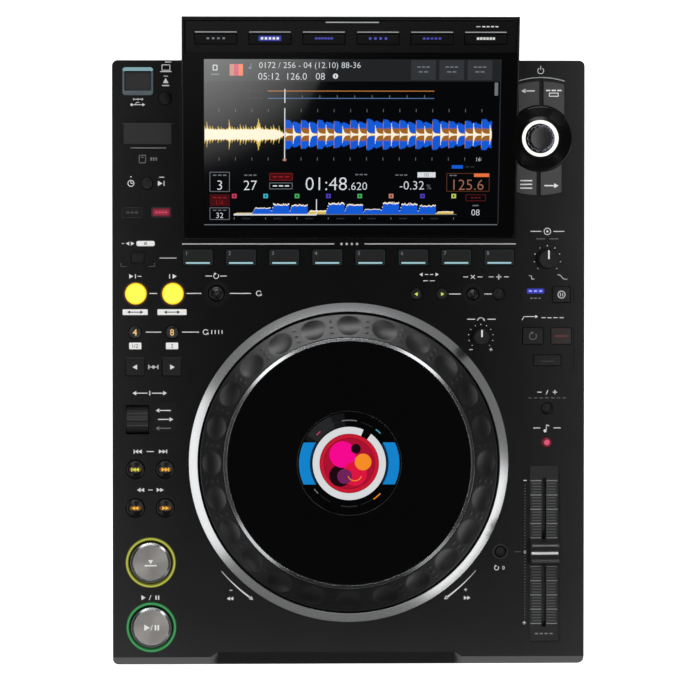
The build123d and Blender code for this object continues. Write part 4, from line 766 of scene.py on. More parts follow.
def make_transport():
    """Cue and play: turned metal buttons with a polished edge, in their lit rings."""
    for name, at in (("cue", CUE), ("play", PLAY)):
        face = np.array([(0, TRANSPORT_TOP), (6.0, TRANSPORT_TOP), (12.1, TRANSPORT_TOP)])
        edge = rounded([(12.1, TRANSPORT_TOP), (12.3, TRANSPORT_TOP), (13.9, 70.65, 0.2),
                        (14.2, 69.6, 0.3), (14.2, 60.2), (0, 60.2)])
        shell = Shell().add(turned(at, face, 128), name + " metal")
        shell.add(turned(at, edge, 128), "polished chrome")
        shell.piece(name + "_button_top", name + "_button", "spun_metal", [name + "_button"], sharp=12)
        ring = rounded([(15.4, 62.0), (15.4, LIGHT_RING_TOP, 0.5), (17.5, LIGHT_RING_TOP, 1.1),
                        (17.5, 62.0)], close=True)
        Shell().add(turned(at, ring, 128, close=True), name + " shade").piece(
            name + "_light_ring", "case", "light_guide", ["light_guides"])
        marks = Marks(on_level, LIGHT_RING_TOP)
        marks.band(name + " light", *at, 17.1, 16.0, steps=96)
        marks.shell.piece(name + "_light_line", "case", "light_guide", smooth=False)
    marks = Marks(on_level, TRANSPORT_TOP)
    x, y = PLAY
    marks.triangle("blank label", x - 3.4, y, 4.0).bar("blank label", x + 0.2, y, 0.5, 4.0, -18)
    for dx in (2.9, 4.9):
        marks.bar("blank label", x + dx, y, 1.2, 3.8)
    marks.shell.piece("play_button_marks", "play_button", "spun_metal", smooth=False)
    marks = Marks(on_level, TRANSPORT_TOP)
    x, y = CUE
    marks.triangle("blank label", x, y + 0.9, 3.0, -90).bar("blank label", x, y - 1.9, 8.4, 0.9)
    marks.shell.piece("cue_button_marks", "cue_button", "spun_metal", smooth=False)


# ---------------------------------------------------------------- selector, knobs, slider, lever


def make_selector():
    """Skirt, lit ring and fluted knob of the browse selector.

    A flute takes 0.075 (1/2 - 1/2 cos 14a)^1.5 off the side's radius at each angle a."""
    skirt = rounded([(12.72, 68.2), (12.72, 73.45, 0.3), (22.75, 70.67, 1.0), (22.75, 68.02)])
    Shell().add(turned(SELECTOR, skirt, 192), "skirt gloss").piece("selector_skirt", "case", "trim_gloss")
    ring = rounded([(10.4, 68.1), (10.4, 74.6, 0.6), (12.68, 74.6, 0.9), (12.68, 68.1)], close=True)
    Shell().add(turned(SELECTOR, ring, 128, close=True), "ring white").piece(
        "selector_light_ring", "case", "light_guide", ["light_guides"])
    side = rounded([(8.1, 82.0), (9.3, 81.1, 0.5), (9.3, 70.5, 0.2), (3.05, 70.5), (3.05, 79.0), (0, 79.0)])
    top = rounded([(0, 82.15), (6.0, 82.25), (7.4, 82.5, 0.5), (8.1, 82.0)])

    def flutes(angle, row):
        return -0.075 * (0.5 - 0.5 * np.cos(angle * 14)) ** 1.5 * ((row > 0) & (row < 12))

    shell = Shell().add(turned(SELECTOR, side, 224, ripple=flutes), "selector chrome")
    shell.add(turned(SELECTOR, top, 224), "selector black")
    shell.piece("selector_knob_body", "selector_knob", "selector_gloss", ["selector_knob"], sharp=50)


def make_knob(node, at, skirt, top, height):
    """A knob of a skirt radius, a top radius and a height, with a white pointer on its top.

    A grip takes 0.018 (1/2 - 1/2 cos 22a) off the skirt's radius at each angle a."""
    base = PANEL_TOP + 0.6
    profile = rounded([(0, base + height - 0.15), (top - 1.2, base + height, 1.0), (top, base + height, 0.8),
                       (top + 0.15, base + 3.6, 0.6), (skirt, base + 2.6, 0.9), (skirt, base, 0.3),
                       (3.0, base), (3.0, 61.5), (0, 61.5)])

    def grips(angle, row):
        return -0.018 * (0.5 - 0.5 * np.cos(angle * 22)) * ((row > 8) & (row < 20))

    Shell().add(turned(at, profile, 176, ripple=grips), "knob rubber").piece(
        node + "_body", node, "knob", [node], sharp=50)
    marks = Marks(on_level, base + height)
    marks.bar("blank label", at[0], at[1] + top * 0.5, 1.05, top * 0.95)
    marks.shell.piece(node + "_pointer", node, "knob", smooth=False)


def carried_across(profile, middle, stations):
    """A closed side outline (y, z) carried along X, drawn in by each station's (x, inset)."""
    profile, middle = np.asarray(profile), np.array(middle)
    size = np.abs(profile - middle).max(axis=0)
    rows = [np.column_stack([np.full(len(profile), x), middle + (profile - middle) * (1 - inset / size)])
            for x, inset in stations]
    ends = [rows[0].copy(), rows[-1].copy()]
    for end in ends:
        end[:, 1:] = middle
    points = np.stack([ends[0], *rows, ends[1]])
    return points.reshape(-1, 3), grid_faces(len(points), len(profile))[:, ::-1]


def edge_stations(low, high, edge):
    """Stations along X with a rounded edge at both ends."""
    turn = np.linspace(0, TAU / 4, 4)
    first = [(low + edge * (1 - math.cos(t)), edge * (1 - math.sin(t))) for t in turn]
    last = [(high - edge * (1 - math.cos(t)), edge * (1 - math.sin(t))) for t in turn[::-1]]
    return first + last


def make_slider():
    """The tempo slider's cap with its finger valley, its tang, its white line and a painted highlight on its
    rear crest.
    """
    x, y = SLIDER
    profile = rounded([
        (y - 9.3, 68.8, 0.3), (y - 9.3, 74.0, 1.0), (y - 6.5, SLIDER_CREST, 0.7),
        (y - 4.5, SLIDER_CREST, 0.9), (y - 1.1, 77.6, 0.5), (y + 1.1, 77.6, 0.5),
        (y + 4.5, SLIDER_CREST, 0.9), (y + 6.5, SLIDER_CREST, 0.7), (y + 9.3, 74.0, 1.0),
        (y + 9.3, 68.8, 0.3)], close=True)
    stations = edge_stations(x - 9.75, x + 9.75, 0.7)
    shell = Shell().add(carried_across(profile, (y, 73.0), stations), "fader black")
    tang = rounded_rectangle(4.2, 13.0, 0.4) + (y, 63.0)
    shell.add(carried_across(tang, (y, 63.0), edge_stations(x - 1.3, x + 1.3, 0.2)), "fader black")
    shell.piece("tempo_slider_cap", "tempo_slider", "slider_cap", ["tempo_slider"], sharp=45)
    marks = Marks(on_level, SLIDER_VALLEY)
    marks.bar("blank label", x, y, 18.6, 1.7)
    # The grey bar on the rear crest is a painted highlight, where the crest catches the light
    marks.level = SLIDER_CREST
    marks.bar("grey ink", x, y + 5.5, 18.0, 0.9)
    marks.shell.piece("tempo_slider_line_and_painted_highlight", "tempo_slider", "slider_cap", smooth=False)


def make_lever():
    """The direction lever: r = drum + rib (1 - ((a - a0) / w)^4) round its pin, carried along X."""
    x, y, z = LEVER
    angle = np.linspace(math.radians(-115), math.radians(115), 121)
    radius = np.full(len(angle), 9.5)
    for middle in (-26, 0, 26):
        near = (angle - math.radians(middle)) / math.radians(6.0)
        radius += 0.9 * np.clip(1 - near ** 4, 0, 1)
    arc = np.stack([y - radius * np.sin(angle), z + radius * np.cos(angle)], axis=-1)
    stations = edge_stations(x - 7.6, x + 7.6, 0.6)
    shell = Shell().add(carried_across(arc[::-1], (y, z + 2.0), stations), "lever grey")
    pin = circle(1.5, 24) + (y, z)
    shell.add(carried_across(pin, (y, z), edge_stations(x - 9.9, x + 9.9, 0.2)), "lever grey")
    shell.piece("direction_lever_drum", "direction_lever", "lever", ["direction_lever"], sharp=40)


def make_stick_frame():
    """The lit frame round the memory stick's door: its glow, kept to the rear band as a painted highlight,
    and plain grey sides.
    """
    outer, inner = rounded_rectangle(21.3, 19.4, 2.0, 8), rounded_rectangle(18.6, 13.7, 0.8, 8) + (0, 0.4)
    soft = rounded_rectangle(20.7, 18.8, 1.8, 8)
    rows = [(inner, 67.0), (inner, 69.2), (inner * 1.01, STICK_FRAME_TOP), (soft, STICK_FRAME_TOP),
            (outer, 69.0), (outer, 67.0)]
    points = np.stack([on_level(plan + STICK_SLOT, z) for plan, z in rows]).reshape(-1, 3)
    faces = grid_faces(len(rows), len(outer), close_rows=True)
    # The rear band takes the glow as a painted highlight; the sides and front stay plain grey
    rear = points[faces][:, :, 1].mean(axis=1) > STICK_SLOT[1] + 7.2
    shell = Shell()
    shell.add((points, faces[rear]), "stick light")
    shell.add((points, faces[~rear]), "frame grey")
    shell.piece("stick_light_frame", "case", "light_guide", ["light_guides"])


# ---------------------------------------------------------------- small keys


# Small key: middle, width, length (0 is round), top, edge radius, finish
SMALL_CAPS = [
    (-127.7, 170.0, 9.0, 0, 69.0, 0.4, "well satin"), (-140.3, 111.0, 8.6, 0, 70.0, 0.9, "key matte"),
    (106.1, -146.1, 7.0, 0, 70.0, 0.9, "key matte"), (-150.6, 90.8, 12.4, 5.5, 68.6, 0.4, "key matte"),
    (-130.4, 90.9, 12.4, 5.5, 68.6, 0.4, "key red"), (-146.7, 59.2, 8.6, 6.8, 68.8, 0.4, "key matte"),
]
MENU_KEYS = 6
MENU_U = 142.0
MENU_PITCH = 37.0
MENU_TOP = 1.0


def make_small_keys():
    """The keys that share one node: six on the panel, six above the screen and the power button behind."""
    shell = Shell()
    for x, y, width, length, top, edge, finish in SMALL_CAPS:
        outline = box_outline(width, length, 0.8) if length else round_outline(width / 2)
        shell.add(cap((x, y), outline, top, CAP_FOOT, edge, 0 if length else 0.4), finish)
    for k in range(MENU_KEYS):
        middle = ((k - (MENU_KEYS - 1) / 2) * MENU_PITCH, MENU_U)
        points, faces = cap(middle, box_outline(29.0, 7.0, 0.8), MENU_TOP, -4.3, 0.4)
        shell.add((on_slope(points[:, :2], points[:, 2]), faces), "menu gloss")
    profile = rounded([(0, 1.8), (3.4, 1.9), (5.0, 2.0, 0.8), (5.0, -7.0), (0, -7.0)])
    points, faces = turned((0, 0), profile, 48)
    x, y, z = POWER_BUTTON
    points = np.stack([x - points[:, 0], y + points[:, 2], z + points[:, 1]], axis=-1)
    shell.add((points, faces), "key matte")
    shell.piece("small_key_caps", "case", "small_key", ["small_keys"], sharp=60)


# ---------------------------------------------------------------- pictograms


def skip_icon(marks, ink, x, y, size, side, bar=True):
    """Two arrow heads that point to one side, with a bar when they skip."""
    for k in (-0.5, 0.5):
        marks.triangle(ink, x + k * size, y, size, 0 if side > 0 else 180)
    if bar:
        marks.bar(ink, x + side * size * 1.25, y, size * 0.3, size * 1.1)


def arc_arrow(marks, ink, x, y, radius, start, end, line, head):
    """A curved line round (x, y) from start to end degrees with an arrow head at its end."""
    way = 1 if end > start else -1
    marks.band(ink, x, y, radius + line / 2, radius - line / 2, min(start, end), max(start, end), steps=40)
    a = math.radians(end)
    marks.triangle(ink, x + radius * math.cos(a), y + radius * math.sin(a), head, end + 90 * way)


def cross(marks, ink, x, y, size, line, turn=0.0):
    """A plus sign, or a cross when turned by 45 degrees."""
    marks.bar(ink, x, y, size, line, turn).bar(ink, x, y, size, line, turn + 90)


def dial_scale(marks, x, y, radius, dots):
    """Dots round a knob from lower left to lower right."""
    for angle in np.linspace(225, -45, dots):
        a = math.radians(angle)
        marks.disc("white ink", x + radius * math.cos(a), y + radius * math.sin(a), 0.36, steps=10)


def mark_rear_left(m, white, line):
    """Computer, memory stick, memory card, clock, call and delete."""
    m.frame(white, -127.0, 191.4, 6.0, 4.2, 0.5, 0.5).bar(white, -127.0, 188.6, 8.0, 0.6)
    m.bar(white, -125.4, 195.2, 4.4, 0.6).bar(line, -127.1, 185.4, 3.0, 0.7)
    m.triangle(white, -127.2, 182.0, 3.4, 90).bar(white, -127.2, 178.9, 5.0, 0.8)
    m.bar(white, -146.4, 169.4, 7.0, 0.5).dashes(white, -146.4, 169.4, 3, 3, 0.5, 1.6)
    m.stroke(white, [(-150.4, 165.6), (-143.4, 165.6)], 0.5).triangle(white, -142.6, 165.6, 1.9)
    m.disc(white, -150.8, 165.6, 0.9, steps=16)
    m.stroke(white, [(-148.6, 165.6), (-147.2, 167.2), (-145.4, 167.2)], 0.45)
    m.bar("grey ink", -139.2, 135.6, 24.6, 0.75)
    m.frame("grey ink", -143.4, 127.9, 4.9, 5.8, 0.9, 0.5).bar("grey ink", -143.4, 129.2, 1.9, 0.6)
    m.dashes("grey ink", -135.6, 127.9, 1.8, 3, 1.1, 2.3)
    m.frame(white, -151.4, 111.0, 4.6, 4.6, 2.2, 0.5).bar(white, -151.4, 111.9, 0.5, 1.9)
    m.bar(white, -150.8, 111.0, 1.6, 0.5).bar(white, -151.4, 115.6, 1.2, 0.5)
    m.bar(white, -130.1, 115.3, 3.6, 0.6).triangle(white, -131.4, 111.0, 3.2)
    m.bar(white, -128.4, 111.0, 0.6, 3.4)
    m.frame("edge line", -150.6, 90.8, 13.9, 7.0, 0.9, 0.4)
    m.frame("edge line", -130.4, 90.9, 13.9, 7.0, 0.9, 0.4)
    m.bar(white, -157.0, 69.2, 1.4, 0.5).triangle(white, -153.6, 69.2, 2.3, 180)
    m.triangle(white, -150.6, 69.2, 2.3)
    m.plate("blank label", -141.3, 69.2, 12.6, 3.6, 1.2)
    cross(m, "dim ink", -141.3, 69.2, 3.0, 0.5, 45)
    m.bar(line, -125.8, 59.1, 11.8, 0.65)
    for side in (-1, 1):
        m.bar("tick grey", -146.8 + side * 11.6, 54.4, 0.5, 2.6)
        m.bar("tick grey", -146.8 + side * 9.6, 53.2, 4.0, 0.4)


def mark_loops(m, white):
    """Pads' line, loop keys and beat jump."""
    m.bar(white, -63.0, 68.9, 105.8, 0.75).bar(white, 63.8, 68.9, 105.6, 0.75)
    for dx in (-5.4, -1.8, 1.8, 5.4):
        m.bar(white, 0.4 + dx, 68.9, 1.5, 1.5, 45)
    for x in (-148.2, -122.4):
        # Rings of painted glow: the lit loop keys' light falling on the panel round them
        m.band("glow ember", x, 34.3, 8.9, 7.6).band("glow orange", x, 34.3, 8.0, 7.6, lift=0.02)
    m.triangle(white, -151.6, 46.4, 2.8).bar(white, -148.4, 46.4, 0.6, 3.0)
    m.bar(white, -145.6, 46.4, 2.6, 0.6)
    m.bar(white, -124.6, 46.4, 0.6, 3.0).triangle(white, -121.4, 46.4, 2.8)
    arc_arrow(m, white, -92.3, 46.6, 1.7, 400, 110, 0.5, 1.7)
    m.bar(white, -97.4, 46.6, 4.6, 0.55).bar(white, -87.2, 46.6, 4.6, 0.55)
    for x, width in ((-136.0, 5.3), (-107.7, 10.2), (-75.4, 14.8)):
        m.bar(white, x, 34.5, width, 0.6)
    arc_arrow(m, white, -62.6, 34.5, 1.7, 30, 330, 0.5, 1.6)
    m.plate("blank label", -148.6, 21.5, 17.4, 4.0, 0.5).plate("blank label", -123.0, 21.5, 20.2, 4.0, 0.5)
    for x in (-148.6, -123.0):
        m.bar("dim ink", x, 21.5, 7.4, 0.6, lift=0.03)
        for side in (-1, 1):
            m.triangle("dim ink", x + side * 4.4, 21.5, 2.1, 90 - 90 * side, lift=0.03)
    m.bar(white, -135.8, 7.6, 10.8, 0.6).bar(white, -110.2, 7.6, 11.6, 0.6)
    arc_arrow(m, white, -99.6, 7.6, 1.7, 30, 330, 0.5, 1.6)
    m.dashes(white, -91.8, 7.6, 2.4, 4, 0.6, 2.6)
    for x, text in ((-148.6, "1/2"), (-123.0, "2")):
        m.plate("blank label", x, -2.0, 8.5, 4.6, 0.5)
        m.figures("dim ink", text, x, -2.0, 2.6, lift=0.03)
    m.bar(white, -136.0, -16.7, 5.6, 0.5).disc(white, -136.0, -16.7, 1.1, steps=16)
    m.dashes(white, -136, -16.7, 6.4, 2, 0.6, 3.0)
    m.dashes("edge line", -135.85, -10.3, 25.5, 2, 13.6, 0.5)


def mark_transport(m, white):
    """Direction, searches, cue and play."""
    for side in (-1, 1):
        m.bar(white, -138.6 + side * 5.6, -34.9, 8.2, 0.6)
        m.triangle(white, -138.6 + side * 10.4, -34.9, 2.6, 90 - 90 * side)
        skip_icon(m, white, -138.2 + side * 8.2, -75.6, 2.5, side)
        skip_icon(m, white, -138.2 + side * 6.6, -102.4, 2.5, side, bar=False)
    m.bar(white, -138.6, -34.9, 0.7, 3.2).bar(white, -138.2, -75.6, 5.0, 0.55)
    m.bar(white, -138.2, -102.4, 3.2, 0.55)
    m.triangle(white, -143.4, -177.6, 3.0).bar(white, -138.6, -177.6, 0.5, 3.6, -20)
    m.dashes(white, -133.5, -177.6, 1.8, 2, 0.9, 2.9)


def mark_right(m, white, line):
    """Power, selector, knobs, call, delete, memory, tempo and the arrows beside the wheel."""
    m.band(white, 133.8, 189.4, 2.3, 1.8, 120, 420).bar(white, 133.8, 191.4, 0.55, 2.8)
    # The silver arc over the browse keys is a painted highlight on the rim of their recess
    arc = np.linspace(math.radians(106.5), math.radians(72.5), 30)
    m.stroke(line, np.stack([134.1 + 54.5 * np.cos(arc), 130.2 + 54.5 * np.sin(arc)], axis=-1), 0.6)
    dial_scale(m, *VINYL_SPEED, 9.3, 9)
    m.frame(white, 138.6, 77.6, 5.0, 5.0, 2.4, 0.5).disc(white, 138.6, 77.6, 0.8, steps=14)
    for side in (-1, 1):
        m.bar(white, 138.6 + side * 8.0, 77.6, 7.6, 0.55).bar("grey ink", 138.6 + side * 4.6, 72.4, 6.2, 0.5)
    m.stroke(white, [(125.8, 46.6), (127.6, 46.6), (127.6, 44.4), (129.6, 44.4)], 0.45)
    m.stroke(white, [(145.6, 47.4), (147.4, 47.2), (150.0, 44.4), (152.6, 44.2)], 0.45)
    for side in (-1, 1):
        m.triangle(white, 56.0 + side * 5.4, 47.6, 2.2, 90 - 90 * side)
        m.bar(white, 56.0 + side * 1.8, 47.6, 2.4, 0.5)
        m.bar(white, 56.0 + side * 2.4, 43.2, 3.4, 0.5)
    cross(m, white, 86.6, 45.9, 3.6, 0.55, 45)
    cross(m, white, 104.7, 45.9, 3.6, 0.6)
    m.bars(white, np.array([81.6, 91.6, 99.4, 110.0]), 45.9, 3.4, 0.5)
    m.bar(white, 74.1, 34.0, 8.4, 0.6).bar(white, 97.2, 34.0, 5.3, 0.6)
    dial_scale(m, *JOG_ADJUST, 8.6, 11)
    arc_arrow(m, white, 92.2, 15.0, 2.4, 170, 20, 0.5, 1.5)
    m.bar(white, 85.4, 16.4, 5.6, 0.55).bar(white, 99.6, 16.4, 5.6, 0.55)
    m.bar(white, 85.4, -4.8, 2.4, 0.5)
    cross(m, white, 99.2, -4.8, 2.4, 0.5)
    m.stroke(white, [(121.0, 15.8), (122.4, 18.2), (130.0, 18.2)], 0.5).triangle(white, 131.0, 18.2, 2.0)
    m.dashes(white, 142.3, 17.4, 4.2, 4, 2.9, 0.55)
    m.bar(white, 133.2, -34.6, 3.0, 0.6).bar(white, 138.6, -34.6, 0.5, 3.2, -20)
    cross(m, white, 144.0, -34.6, 3.0, 0.6)
    m.dashes("grey ink", 138.6, -38.6, 4, 7, 2.4, 0.45)
    m.disc(white, 137.2, -61.6, 1.1, steps=16).bar(white, 138.1, -59.6, 0.5, 4.4)
    m.bar(white, 139.1, -57.8, 2.2, 0.7, -25)
    m.dashes(white, 138.5, -59.6, 14.2, 2, 5.0, 0.55)
    dots = np.linspace(-99.8, -192.4, 46)
    dots = dots[np.abs(dots + 146.4) > 2.6]
    m.bars("grey ink", 123.2, dots, 0.55, 0.55)
    m.bar(white, 123.3, -96.3, 2.2, 0.55).figures(white, "0", 123.2, -146.4, 2.3)
    cross(m, white, 122.8, -195.9, 2.4, 0.55)
    m.bar("tick grey", 118.0, -146.2, 4.4, 0.5).band("edge line", 106.1, -146.1, 5.2, 4.7)
    m.figures(white, "0", 108.2, -157.4, 2.6)
    arc_arrow(m, white, 103.4, -157.4, 1.5, 400, 110, 0.5, 1.4)
    # Swept arrows beside the wheel, which widen towards their heads
    for side, start, end in ((-1, 220.4, 234.4), (1, 319.6, 305.6)):
        turn = np.radians(np.linspace(start, end, 30))
        width = 0.12 + 0.5 * np.linspace(0, 1, 30)
        ring = np.stack([np.cos(turn), np.sin(turn)], axis=-1)
        rows = np.concatenate([ring * (116.7 - width)[:, None], ring * (116.7 + width)[:, None]]) + JOG
        faces = grid_faces(2, 30, close_columns=False)
        m.put(white, rows, faces if side < 0 else faces[:, ::-1])
        tip = np.array(JOG) + 116.7 * ring[-1]
        m.triangle(white, *tip, 2.6, end - 90 * side)
        skip_icon(m, white, side * 82.6, -178.4, 2.3, side, bar=False)
    m.bar(white, -82.2, -172.6, 2.0, 0.5)
    cross(m, white, 81.8, -172.6, 2.2, 0.5)


def make_panel_marks():
    """Lines, scales, figures and pictograms printed on the panel and in its wells, with painted highlights
    on the rim over the browse keys and on the stick frame's front band.
    """
    m = Marks(on_level, PANEL_TOP)
    white, line = "white ink", "silver line"
    mark_rear_left(m, white, line)
    mark_loops(m, white)
    mark_transport(m, white)
    mark_right(m, white, line)
    m.shell.piece("panel_marks", "case", "panel", smooth=False)
    m = Marks(on_level, PLATE_TOP)
    for y, ink, turn in ((-47.0, white, 180), (-53.2, white, 0), (-59.4, "grey ink", 180)):
        side = 1 if turn == 0 else -1
        m.triangle(ink, -128.4 + side * 4.6, y, 2.6, turn).bar(ink, -128.4 - side * 0.6, y, 7.6, 0.7)
    m.plate("mode blue", 130.4, 36.0, 12.2, 3.6, 1.0)
    m.dashes("mode light", 130.4, 36.0, 3.6, 3, 2.2, 1.3, lift=0.03)
    m.dashes("grey ink", 130.4, 31.0, 2.8, 3, 1.9, 0.8)
    for side in (-1, 1):
        m.bar("scale grey", 136.5 + side * 5.65, -147.2, 8.1, 122.2)
    m.bar("well grey", 136.5, -90.3, 19.4, 8.2, lift=0.02)
    m.bar("well grey", 136.5, -203.4, 19.4, 9.4, lift=0.02)
    tick = np.linspace(-96.5, -196.5, 51)
    tenth = np.arange(51) % 5 == 0
    for side in (-1, 1):
        m.bars("tick light", 136.5 + side * 5.55, tick[tenth], 7.7, 0.7, lift=0.03)
        m.bars("tick grey", 136.5 + side * 5.1, tick[~tenth], 6.6, 0.8, lift=0.03)
    m.dashes("tick light", 136.5, -203.6, 3.4, 4, 2.2, 0.9, lift=0.04)
    m.shell.piece("plate_marks", "case", "trim_gloss", smooth=False)
    # A grey bar on the frame's front band, under the door's grip, is a painted highlight
    m = Marks(on_level, STICK_FRAME_TOP)
    m.bar("tick grey", -146.5, 173.6, 10.0, 0.5)
    m.shell.piece("stick_frame_painted_highlight", "case", "light_guide", smooth=False)


def make_key_marks():
    """Figures and pictograms on the caps, each on its own key."""

    def on(node, draw):
        """Draws on a key's top, round its middle."""
        x, y, top = node_middle(node)
        marks = Marks(on_level, top)
        draw(marks, x, y)
        marks.shell.piece(node + "_marks", node, smooth=False)

    def glowing(icon, side, bar=True):
        """A skip pictogram over a patch of light."""

        def draw(m, x, y):
            m.plate("icon glow", x, y, 8.0, 3.0, 1.4)
            m.level += 0.03
            skip_icon(m, icon, x - side * (0.4 if bar else 0), y, 2.3, side, bar)
        return draw

    on("loop_four_button", lambda m, x, y: m.figures("number amber", "4", x, y, 4.4))
    on("loop_eight_button", lambda m, x, y: m.figures("number amber", "8", x, y, 4.4))
    on("jump_back_button", lambda m, x, y: m.triangle("white ink", x, y, 3.2, 180))
    on("jump_forward_button", lambda m, x, y: m.triangle("white ink", x, y, 3.2))
    on("track_back_button", glowing("icon lime", -1))
    on("track_forward_button", glowing("icon amber", 1))
    on("search_back_button", glowing("icon amber", -1, bar=False))
    on("search_forward_button", glowing("icon amber", 1, bar=False))
    on("call_back_button", lambda m, x, y: m.triangle("icon lime", x, y, 2.3, 180))
    on("call_forward_button", lambda m, x, y: m.triangle("icon lime", x, y, 2.3))
    on("jog_mode_button", lambda m, x, y: m.frame("white ink", x, y, 5.4, 5.4, 2.6, 0.5).dashes(
        "white ink", x, y, 1.6, 2, 0.5, 2.4))
    on("sync_button", lambda m, x, y: arc_arrow(m, "grey ink", x, y, 2.4, 400, 100, 0.5, 1.7))
    on("key_sync_button", lambda m, x, y: m.bar("dim ink", x, y - 0.6, 9.0, 0.6))
    on("master_button", lambda m, x, y: m.plate("key ember", x, y, 9.8, 1.5, 0.4))
    on("browse_key_1", lambda m, x, y: m.bar("blank label", x + 0.6, y + 4.6, 7.0, 0.9).triangle(
        "blank label", x - 3.6, y + 4.6, 3.0, 180))
    on("browse_key_2", lambda m, x, y: m.dashes("blank label", x, y + 5.8, 3.9, 3, 3.0, 1.0).frame(
        "blank label", x, y + 2.9, 6.8, 2.8, 0.4, 0.6))
    on("browse_key_3", lambda m, x, y: m.bars(
        "blank label", x, y - 4.4 + np.array([-2.6, 0, 2.6]), 8.4, 0.9))
    on("browse_key_4", lambda m, x, y: m.triangle("blank label", x + 3.4, y - 4.4, 3.0).bar(
        "blank label", x - 1.2, y - 4.4, 7.0, 0.9))
    m = Marks(on_level, TILE_TOP)
    m.plate("key crimson", -130.4, 90.9, 10.2, 3.2, 0.8)
    m.dashes("key pink", -130.45, 90.9, 2.1, 4, 1.4, 0.8, lift=0.03)
    m.dashes("tick grey", -150.6, 90.8, 3, 3, 1.9, 1.1)
    m.shell.piece("tile_marks", "case", "small_key", smooth=False)


# ---------------------------------------------------------------- screen


def screen_place(points, rise):
    """Points in screen units laid on the display's slope."""
    points = np.asarray(points, float)
    x = SCREEN_LEFT + points[:, 0] * (SCREEN_RIGHT - SCREEN_LEFT) / SCREEN_COLUMNS
    u = SCREEN_REAR - points[:, 1] * (SCREEN_REAR - SCREEN_FRONT) / SCREEN_ROWS
    return on_slope(np.column_stack([x, u]), rise)


class ScreenMarks(Marks):
    """Marks in screen units, whose faces and figures are turned over because rows run downwards."""

    def __init__(self):
        super().__init__(screen_place, 0.0)

    def put(self, ink, points, faces, lift=0.0):
        """Turns each face over before it is laid."""
        return super().put(ink, points, [list(face)[::-1] for face in faces], lift)

    def figures(self, ink, text, x, y, height, lift=0.0):
        """Figures with thinned strokes, upright on the screen."""
        points, faces = figures(text, -0.012)
        return self.put(ink, points * (height, -height) + (x, y), [list(f)[::-1] for f in faces], lift)


def beat_phase(x, start, beat):
    """Share of the beat that has passed at each place."""
    return ((x - start) / beat) % 1


def draw_header(s, up):
    """Header: library mark, cover stripes, two rows of figures and three buttons."""
    s.bar("screen bar", SCREEN_COLUMNS / 2, 11, SCREEN_COLUMNS, 22, lift=up)
    for x in (217, 245, 273):
        s.bar("screen button", x, 10.6, 24.4, 19.6, lift=up * 2)
        s.dashes("screen grey", x, 7.6, 4.5, 3, 3.4, 1.3, lift=up * 3)
        s.dashes("screen grey", x, 12.4, 5.2, 2, 4.0, 1.3, lift=up * 3)
        s.bar("screen dim", x, 17.6, 12, 0.8, lift=up * 3)
    for k, ink in enumerate(("screen rose", "screen pink", "screen tag")):
        s.bar(ink, 27.5 + 4.4 * k, 10.6, 4.4, 11.5, lift=up * 2)
    s.frame("screen white", 11, 8.4, 4.6, 5.6, 0.6, 0.8, lift=up * 2)
    s.bar("screen grey", 11, 15, 8.0, 1.3, lift=up * 2)
    s.disc("screen grey", 45.4, 8.6, 1.3, lift=up * 2).bar("screen grey", 46.5, 6.4, 0.7, 4.6, lift=up * 2)
    s.figures("screen white", "0172 / 256 - 04 (12.10) 88-36", 104.6, 6.8, 7.6, lift=up * 2)
    for x, text in ((64, "05:12"), (92, "126.0"), (115, "08")):
        s.figures("screen white", text, x, 17.0, 6.6, lift=up * 2)
    s.disc("screen white", 130, 16.8, 2.6, lift=up * 2).bar("screen bar", 130, 16.8, 0.9, 3.0, lift=up * 3)


